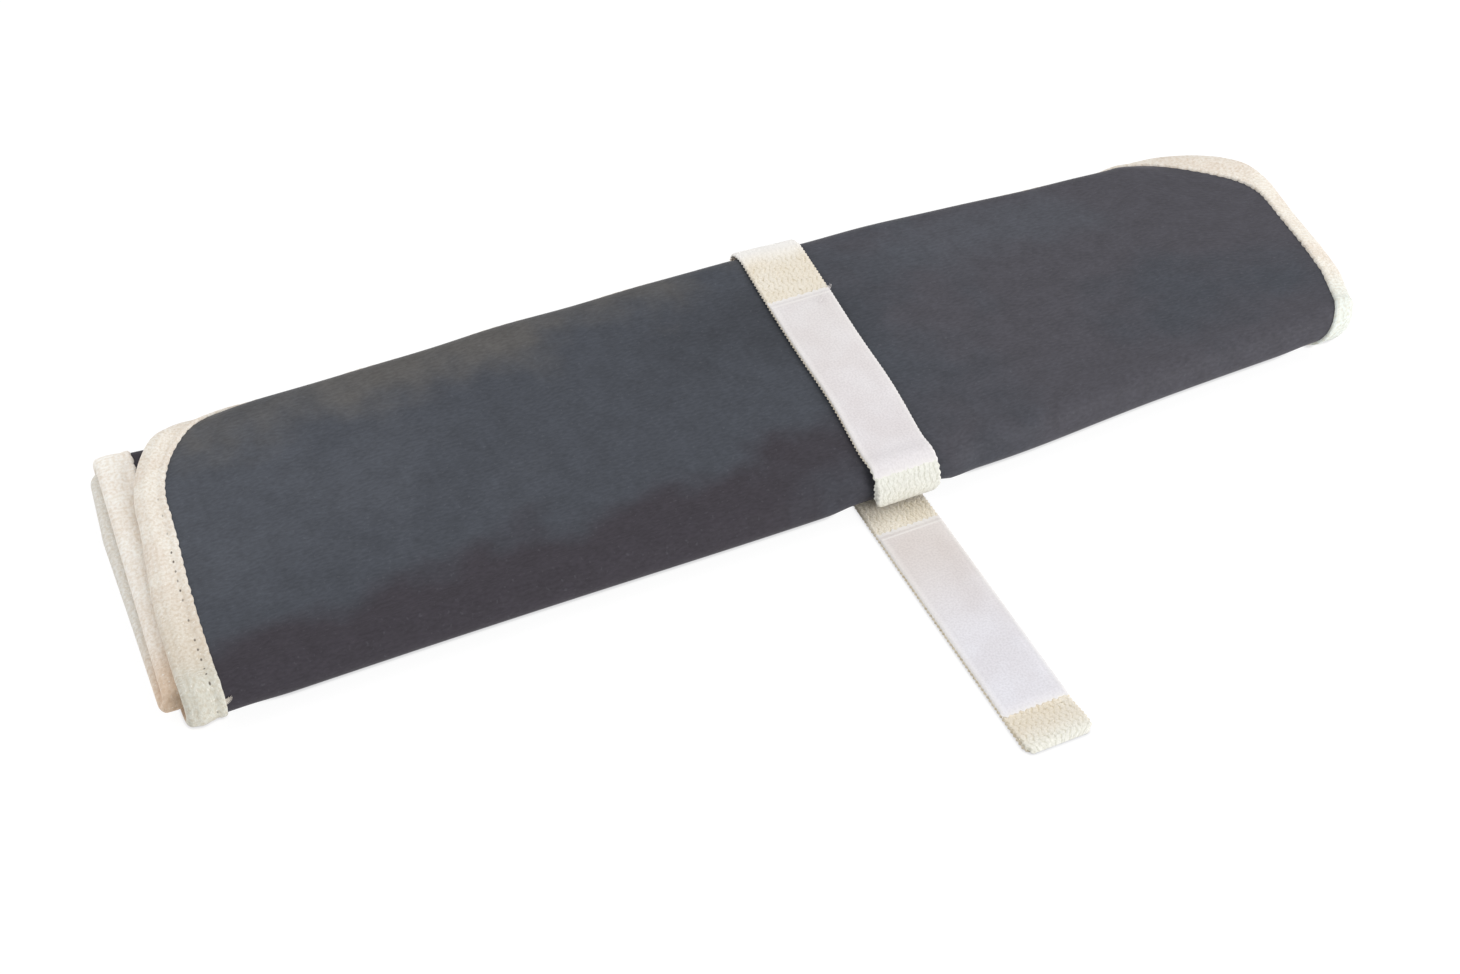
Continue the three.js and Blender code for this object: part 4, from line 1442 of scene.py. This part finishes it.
    def piled(self, aside: Array, length: Array, rise: Array) -> Face:
        """The face of a patch, thin at its ragged ends, with a seam round its edge.

        Args:
            aside: offsets from its middle.
            length: places along it.
            rise: its thickness at each point.

        Returns:
            The face.
        """
        half = self.patch_width / 2
        edge = np.clip((np.abs(aside) - (half - self.edge_round)) / self.edge_round, 0, 1)
        rounding = arch(edge)
        from_end = length[-1] - length
        ends = np.minimum(np.abs(length - length[0]), np.abs(from_end))
        inset = np.minimum(half - np.abs(aside), ends)
        stitch = 0.5 + 0.5 * np.cos(2 * np.pi * np.where(ends < 3, aside, length) / self.seam_pitch)
        seam = bell(inset - self.seam_inset, 0.45) * (0.4 + 0.6 * stitch)
        thin = 0.15 + 0.85 * ease(0, 3.5, ends)
        top = rise * (0.25 + 0.75 * rounding) * thin - 0.16 * seam
        across = aside + np.sign(aside) * 0.18 * np.sin(2 * np.pi * length / self.edge_pick) * edge
        ragged = 0.35 * np.sin(2 * np.pi * aside / self.rib_pitch) + 0.25 * np.sin(aside * 1.9 + 0.7)
        along = length + ragged * (1 - ease(0, 3, ends))
        sewn_end = bell(from_end - 3.4, 0.5) + ease(2.4, 1.6, from_end)
        tone = np.maximum(np.clip(np.exp(-inset / 1.2), 0, 1) * 0.8, 0.7 * sewn_end)
        return Face(across, along, top, tone)

    def ribbon(
        self,
        name: str,
        surface: Surface,
        places: Array,
        low: Array,
        high: Array,
        patch: bool = False,
        tip: bool = False,
        cool: Pair | None = None,
        selvage: float = 0.0,
    ) -> Piece:
        """Lay a ribbon along a surface.

        Args:
            name: the piece's name.
            surface: takes the offset from the ribbon's middle, the place along it and a height.
            places: places along it.
            low: height of its lower face at each place.
            high: height of its upper face at each place.
            patch: whether it is a patch, or else webbing.
            tip: whether its first end has rounded corners.
            cool: places where the painted cool light on its first end starts and is full.
            selvage: how much painted highlight its selvages get.

        Returns:
            The ribbon.
        """
        width, columns = (self.patch_width, 43) if patch else (self.width, 67)
        inner = np.linspace(-0.5, 0.5, columns) * (width - 0.9)
        aside = np.concatenate([[-width / 2, -width / 2 + 0.16], inner, [width / 2 - 0.16, width / 2]])[None, :]
        length = places[:, None]
        grid = (places.size, aside.size)
        # painted cool light on the first end
        painted_light_share = ease(*cool, length) if cool else np.zeros_like(length)
        rise = np.broadcast_to((high - low)[:, None], grid)
        if patch:
            face = self.piled(aside, length, rise)
        else:
            face = self.ribbed(aside, length, rise, tip, painted_light_share, selvage)
        points = surface(*(np.broadcast_to(v, grid) for v in (face.across, face.along, low[:, None] + face.top)))
        piece = lay(name, points, np.stack(np.broadcast_arrays(aside, length), -1))
        mark(piece, grid, rib=face.tone, cool=painted_light_share, pale=self.pale_share * ease(*self.pale_fold, length))
        thicken(piece, self.patch_shell_share * self.patch_thick if patch else self.shell_share * self.thick)
        dress(piece, self.loop if patch else self.webbing)
        return piece

    def over(self, aside: Array, q: Array, h: Array) -> Array:
        """Points over the flap and the front fold, along the strap's own line."""
        bow = self.bow * bell(q - self.bow_q[0], self.bow_q[1])
        x = self.shape.strap_x + self.aside + aside + self.shape.strap_slant * np.maximum(q, 0) + bow
        return self.shape.outside(x, q, h)

    def back(self) -> Pair:
        """X and Y of the strap's line where it leaves the underside at the back."""
        x = self.shape.strap_x + self.shape.strap_slant * self.shape.flap_length
        return x, float(self.shape.back_y(np.array(x)))

    def table(self, aside: Array, y: Array, h: Array) -> Array:
        """Points along the table; the tail's line runs over to the strap's line at the back."""
        back_x, end = self.back()
        front = float(self.shape.front_y(np.array(self.tail_x)))
        return np.stack([self.tail_x + aside + (back_x - self.tail_x) * ease(front, end, y), y, h], -1)

    def bend(self, x: float, y: float, z: float, reach: float) -> list[Point]:
        """Where the webbing starts and ends to bend at a place, in metres."""
        return [(x * MM, (y + side * reach) * MM, z * MM) for side in (1, -1)]

    def upper(self) -> list[Piece]:
        """The strap over the flap with its hanging end, its loop patch, and the seam on the flap's edge."""
        shape = self.shape
        length, over = shape.flap_length, shape.tape_gap + shape.tape
        lip_end = length + shape.tape_edge
        seam = lip_end - self.seam_arc
        tape_start = length - shape.tape_width

        def low(q: Array) -> Array:
            """Height of the strap's lower face."""
            up = over * ease(*(tape_start - before for before in self.tape_ramp), q)
            return shape.gap + up + self.tip_stand_off * ease(3, self.tip_drop - self.tip_hem, -q)

        looks = {"tip": True, "cool": self.tip_cool, "selvage": self.selvage_highlight}
        q = spaced((-self.tip_drop, seam, 0.5))
        strap = self.ribbon("strap_webbing", self.over, q, low(q), low(q) + self.thick, **looks)
        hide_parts("strap_upper", "strap_tip")
        q = spaced((-self.loop_front, self.loop_back, 0.7))
        base = low(q) + self.thick - self.patch_sunk
        patch = self.ribbon("strap_loop_patch", self.over, q, base, base + self.patch_thick, patch=True)
        corner = (self.patch_width / 2 - 0.4, self.loop_back - 0.6)
        tip = (corner[0] + 1.0, corner[1] + 0.2)
        tuft = Tuft(corner, tip, self.tuft_height, self.tuft_count, radius=self.tuft_radius)
        tuft.join(patch, self.over, np.array(self.loose_thread) + (0, self.loop_back, 0))
        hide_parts("loop_patch", "loop_patch_front")
        for piece in (strap, patch):
            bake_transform(piece)
        q = spaced((seam + self.seam_gap, lip_end - self.end_gap, 0.6))
        selvage = self.selvage_highlight
        anchor = self.ribbon("strap_seam_webbing", self.over, q, low(q), low(q) + self.thick, selvage=selvage)
        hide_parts("strap_anchor")
        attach(anchor, Body.FLAP)
        q = spaced((-self.tip_drop + self.end_gap, -self.tip_drop + self.tip_hem, 0.6))
        floor = np.full_like(q, shape.gap)
        hem = self.ribbon("strap_end_hem", self.over, q, floor, low(q) - self.hem_gap, **looks)
        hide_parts("strap_tip_hem")
        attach(hem, Body.STRAP_END)
        return [strap, patch, anchor, hem]

    def lower(self) -> list[Piece]:
        """The run under the roll and the rise to the seam at the back."""
        shape = self.shape
        back_x, end = self.back()
        y = spaced((self.tail_start, end, 0.9))
        low = np.full_like(y, self.floor_gap)
        run = self.ribbon("strap_under_webbing", self.table, y, low, low + self.thick)
        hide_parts("strap_under_run")
        foot = shape.flap(np.array([back_x]), np.array([shape.flap_length + shape.tape_edge]), np.array([0.0]))
        start = end + shape.gap
        flat = float(foot[0, 1]) - self.riser_set_back - end - shape.gap
        bend = math.radians(self.riser_turn)
        path = Runs(np.array([start]), np.array([self.floor_gap]), np.array([0.0]), 1)
        path.line(np.array([flat]))
        path.arc(np.array([self.riser_radius]), np.array([bend]))

        def rise(aside: Array, s: Array, h: Array) -> Array:
            """Points up behind the roll."""
            share = np.where(s > flat, (s - flat) / (self.riser_radius * bend), s / flat)
            y_at, z_at, ny, nz = path.locate((s > flat).astype(int), share)
            return np.stack([back_x + aside, y_at + h * ny, z_at + h * nz], -1)

        s = spaced((0, flat + self.riser_radius * bend, 0.6))
        riser = self.ribbon("strap_rise_webbing", rise, s, np.zeros_like(s), np.full_like(s, self.thick))
        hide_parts("strap_riser")
        for piece in (run, riser):
            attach(piece, Body.MAT)
        return [run, riser]

    def tail(self) -> list[Piece]:
        """The tail on the table, in lengths that meet under its hook patch, with its folded tab."""
        patch_start = self.tail_hinge_y - self.tail_patch_start
        patch_end = patch_start - self.tail_patch_length
        fold = self.tail_hinge_y - self.tail_riser
        tip = patch_end - self.tail_tab
        cuts = (self.tail_start, *self.tail_cuts, tip + self.tab_gap)
        lengths = (
            ("tail_root_webbing", "tail_root", Body.MAT, Body.TAIL_ROOT, self.tail_hinge_y),
            ("tail_webbing", "tail_end", Body.TAIL_ROOT, Body.TAIL_END, fold),
            ("tail_tab_webbing", "tail_tab", Body.TAIL_END, Body.TAIL_TAB, patch_end),
        )
        made = []
        for (name, node, first, second, at), start, end in zip(lengths, cuts, cuts[1:]):
            y = spaced((end, start, 0.5))
            low = np.full_like(y, self.floor_gap)
            piece = self.ribbon(name, self.table, y, low, low + self.thick, tip=node == "tail_tab")
            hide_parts(node)
            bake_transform(piece)
            made.append(piece)
        y = spaced((patch_end, patch_start, 0.7))
        low = np.full_like(y, self.floor_gap + self.thick)
        patch = self.ribbon("tail_hook_patch", self.table, y, low, low + self.patch_thick, patch=True)
        dress(patch, self.hook)
        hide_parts("hook_patch_root", "hook_patch_end")
        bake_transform(patch)
        hem_end = tip + self.tail_hem
        y = spaced((tip, tip + 3, 0.25), (tip + 3, hem_end, 0.5))
        high = self.floor_gap + 2 * self.thick + self.tab_rise
        seam = self.floor_gap + self.thick + self.tab_seam_rise
        round_tip = arch(1 - np.clip((y - tip) / self.tab_round, 0, 1))
        fall = (high - seam) * ease(hem_end - self.tail_hem_slope, hem_end, y)
        top = self.tab_tip + (high - self.tab_tip) * round_tip - fall
        under = np.maximum(top - self.thick, self.floor_gap)
        cool = tuple(tip + at for at in self.tab_cool)
        hem = self.ribbon("tail_tab_fold", self.table, y, under, top, tip=True, cool=cool)
        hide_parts("tail_tab_hem")
        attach(hem, Body.TAIL_TAB)
        return [*made, patch, hem]

    def build(self) -> list[Piece]:
        """Make the whole strap."""
        return [*self.upper(), *self.lower(), *self.tail()]


@dataclass
class Pockets:
    """The knife pockets inside the roll: a cotton panel, its bound mouth and the seams between the slots."""

    shape: RollShape
    cotton: Material
    tape: Material
    thread: Material
    left: float = -215.0
    mouth: float = 58.0
    edging: float = 8.0
    thick: float = 0.7
    panel_margin: Pair = (8.0, 6.0)
    seam_margin: Pair = (3.0, 2.0)
    seam_width: float = 0.8
    seam_thick: float = 0.3
    seam_lift: float = 0.5
    seam_places: tuple[float, float, float, float] = (34, 66, 36, 64)
    shortest_sheet: float = 0.01  # metres; a narrower strip is a seam and not a sheet

    def strip(self, name: str, x: Array, s: Array, height: float, thick: float) -> Piece:
        """A strip of cloth on the lining's face, looking into the roll.

        Args:
            name: the piece's name.
            x: places along the roll.
            s: distances along its section.
            height: height of its face over the canvas's outer face.
            thick: its thickness.

        Returns:
            The strip.
        """
        xs, ss = np.broadcast_arrays(x[None, :], s[:, None])
        piece = lay(name, self.shape.inside(xs, ss, height), np.stack([xs, -ss], -1))
        thicken(piece, thick)
        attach(piece, Body.MAT)
        return piece

    def build(self) -> list[Piece]:
        """Make the panel, its mouth and the seams."""
        shape = self.shape
        start = shape.second_run + self.panel_margin[0]
        end = shape.turns_length - shape.tape_width - self.panel_margin[1]
        inner, third = shape.inner_run, shape.third_run
        s = spaced((start, inner, 4), (inner, third, 0.8), (third, end, 4))
        face = -shape.stack - shape.gap - self.thick
        panel = self.strip("pocket_cotton", spaced((self.left, self.mouth, 4)), s, face, self.thick)
        dress(panel, self.cotton)
        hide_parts("pocket_panel")
        x = spaced((self.mouth + shape.gap, self.mouth + self.edging, 1.5))
        mouth = self.strip("pocket_mouth_tape", x, s, face, self.thick)
        dress(mouth, self.tape)
        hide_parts("pocket_mouth_edging")
        made = [panel, mouth]
        x = spaced((self.left + self.seam_margin[0], self.mouth - self.seam_margin[1], 1.0))
        for i, place in enumerate(self.seam_places):
            middle = place + (shape.second_run if i < 2 else third)
            s = np.linspace(middle - self.seam_width / 2, middle + self.seam_width / 2, 5)
            seam = self.strip(f"slot_stitching_{i + 1}", x, s, face - self.seam_lift, self.seam_thick)
            dress(seam, self.thread)
            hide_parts(f"slot_seam_{i + 1}")
            made.append(seam)
        return made


@dataclass(frozen=True)
class Lamp:
    """A soft square lamp aimed at the middle of the roll, in metres and watts."""

    name: str
    place: Point
    watts: float
    size: float = 1.4

    def build(self) -> None:
        """Hang the lamp."""
        data = bpy.data.lights.new(self.name, "AREA")
        data.size, data.energy = self.size, self.watts
        made = bpy.data.objects.new(self.name, data)
        bpy.context.scene.collection.objects.link(made)
        made.location = self.place
        made.rotation_mode = "QUATERNION"
        made.rotation_quaternion = (-Vector(self.place)).to_track_quat("-Z", "Y")


@dataclass
class Studio:
    """A pale floor, soft light and the camera of the photograph."""

    camera_mm: Point = (-298.1, -607.2, 653.5)
    pitch: float = 45.68
    yaw: float = 25.53
    roll: float = 0.638
    lens: float = 59.18
    sensor: float = 36.0
    clip: Pair = (0.01, 100.0)
    floor_size: float = 12.0
    floor_albedo: float = 0.92
    floor_glow: float = 0.86
    floor_light: float = 1.07
    contact_mm: float = 1.8
    painted_contact_shadow: tuple[tuple[float, str], ...] = ((0.2, "bcbcbe"), (0.6, "e8e8e9"), (0.9, "ffffff"))
    sky: float = 0.38
    lamps: tuple[Lamp, ...] = (
        Lamp("key", (0.9, 0.7, 1.9), 15),
        Lamp("back_left", (-1.5, 0.9, 1.2), 18),
        Lamp("front_right", (1.2, -1.6, 0.8), 33),
    )

    def camera(self) -> None:
        """Place the camera where the photograph's was worked out to be."""
        pitch, yaw, roll = (math.radians(a) for a in (self.pitch, self.yaw, self.roll))
        ahead = Vector((math.sin(yaw) * math.cos(pitch), math.cos(yaw) * math.cos(pitch), -math.sin(pitch)))
        aside = Vector((math.cos(yaw), -math.sin(yaw), 0))
        above = aside.cross(ahead)
        right = math.cos(roll) * aside + math.sin(roll) * above
        up = math.cos(roll) * above - math.sin(roll) * aside
        data = bpy.data.cameras.new("camera")
        data.sensor_width, data.sensor_fit, data.lens = self.sensor, "HORIZONTAL", self.lens
        data.clip_start, data.clip_end = self.clip
        made = bpy.data.objects.new("camera", data)
        bpy.context.scene.collection.objects.link(made)
        turn = Matrix((right, up, -ahead)).transposed().to_4x4()
        made.matrix_world = Matrix.Translation(Vector(self.camera_mm) * MM) @ turn
        bpy.context.scene.camera = made

    def floor(self) -> None:
        """A pale floor that reads as white and keeps the object's shadow, with a painted contact shadow in its glow."""
        bpy.ops.object.select_all(action="DESELECT")
        bpy.ops.mesh.primitive_grid_add(x_subdivisions=8, y_subdivisions=8, size=self.floor_size, location=(0, 0, 0))
        floor = bpy.context.object
        floor.name = "floor"
        material = bpy.data.materials.new("white_paper_sweep")
        material.use_nodes = True
        tree = material.node_tree
        paper = tree.nodes["Principled BSDF"]
        paper.inputs["Base Color"].default_value = (*[self.floor_albedo] * 3, 1)
        paper.inputs["Roughness"].default_value = 1.0
        paper.inputs["Specular IOR Level"].default_value = 0.0
        # painted contact shadow: the glow darkens where ambient occlusion finds the object close by
        near = add(tree, "AmbientOcclusion", {"Distance": self.contact_mm * MM}, "AO", samples=12)
        shade = add(tree, "ValToRGB", (near,), stops=self.painted_contact_shadow)
        glow = add(tree, "Emission", (shade, self.floor_light))
        seen = add(tree, "LightPath", output="Is Camera Ray")
        for ray in ("Is Glossy Ray", "Is Transmission Ray"):
            seen = add(tree, "Math", (seen, add(tree, "LightPath", output=ray)), operation="MAXIMUM")
        share = add(tree, "Math", (seen, self.floor_glow), operation="MULTIPLY")
        mixed = add(tree, "MixShader", (share, paper.outputs[0], glow))
        tree.links.new(mixed, tree.nodes["Material Output"].inputs["Surface"])
        floor.data.materials.append(material)

    def build(self) -> None:
        """Set up the whole studio."""
        scene = bpy.context.scene
        scene.view_settings.view_transform = "Standard"
        world = bpy.data.worlds.new("studio")
        world.use_nodes = True
        sky = world.node_tree.nodes["Background"]
        sky.inputs["Color"].default_value = (1, 1, 1, 1)
        sky.inputs["Strength"].default_value = self.sky
        scene.world = world
        self.camera()
        self.floor()
        for lamp in self.lamps:
            lamp.build()


def main() -> None:
    """Build the studio and every piece over the frame."""
    logging.basicConfig(level=logging.INFO, format="%(name)s: %(message)s")
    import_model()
    Studio().build()
    shape = RollShape()
    canvas = WaxedCanvas("waxed_cotton_canvas").build()
    cotton = PlainLining("plain_cotton_lining").build()
    tape = CottonTape("cotton_binding_tape").build()
    # a brighter copy of the binding tape for the rolled layers: painted light on tape that lies in shade, with its own
    # painted shade and painted cool tint
    inner_tape = CottonTape(
        "cotton_binding_tape_painted_light", pale="fdfaf4", cream="faf5ee", peach="f7f0e7", cool="e4e2dc", aged="e2cab2"
    ).build()
    webbing = RibbedWebbing("ribbed_cotton_webbing").build()
    loop = PatchPile("nylon_loop_pile").build()
    # the hook tape is darker near the roll: painted shade
    hook = PatchPile("nylon_hook_tape", near="ddd6d3", far="e5e4ea", near_mm=-85.0, far_mm=-150.0).build()
    thread = SewingThread("cotton_sewing_thread").build()
    assemblies = [
        Canvas(shape, canvas, cotton),
        Binding(shape, tape, inner_tape),
        Strap(shape, webbing, loop, hook),
        Pockets(shape, cotton, tape, thread),
    ]
    for assembly in assemblies:
        for piece in assembly.build():
            LOG.info("%s: %d faces", piece.name, len(piece.data.polygons))


if __name__ == "__main__":
    main()
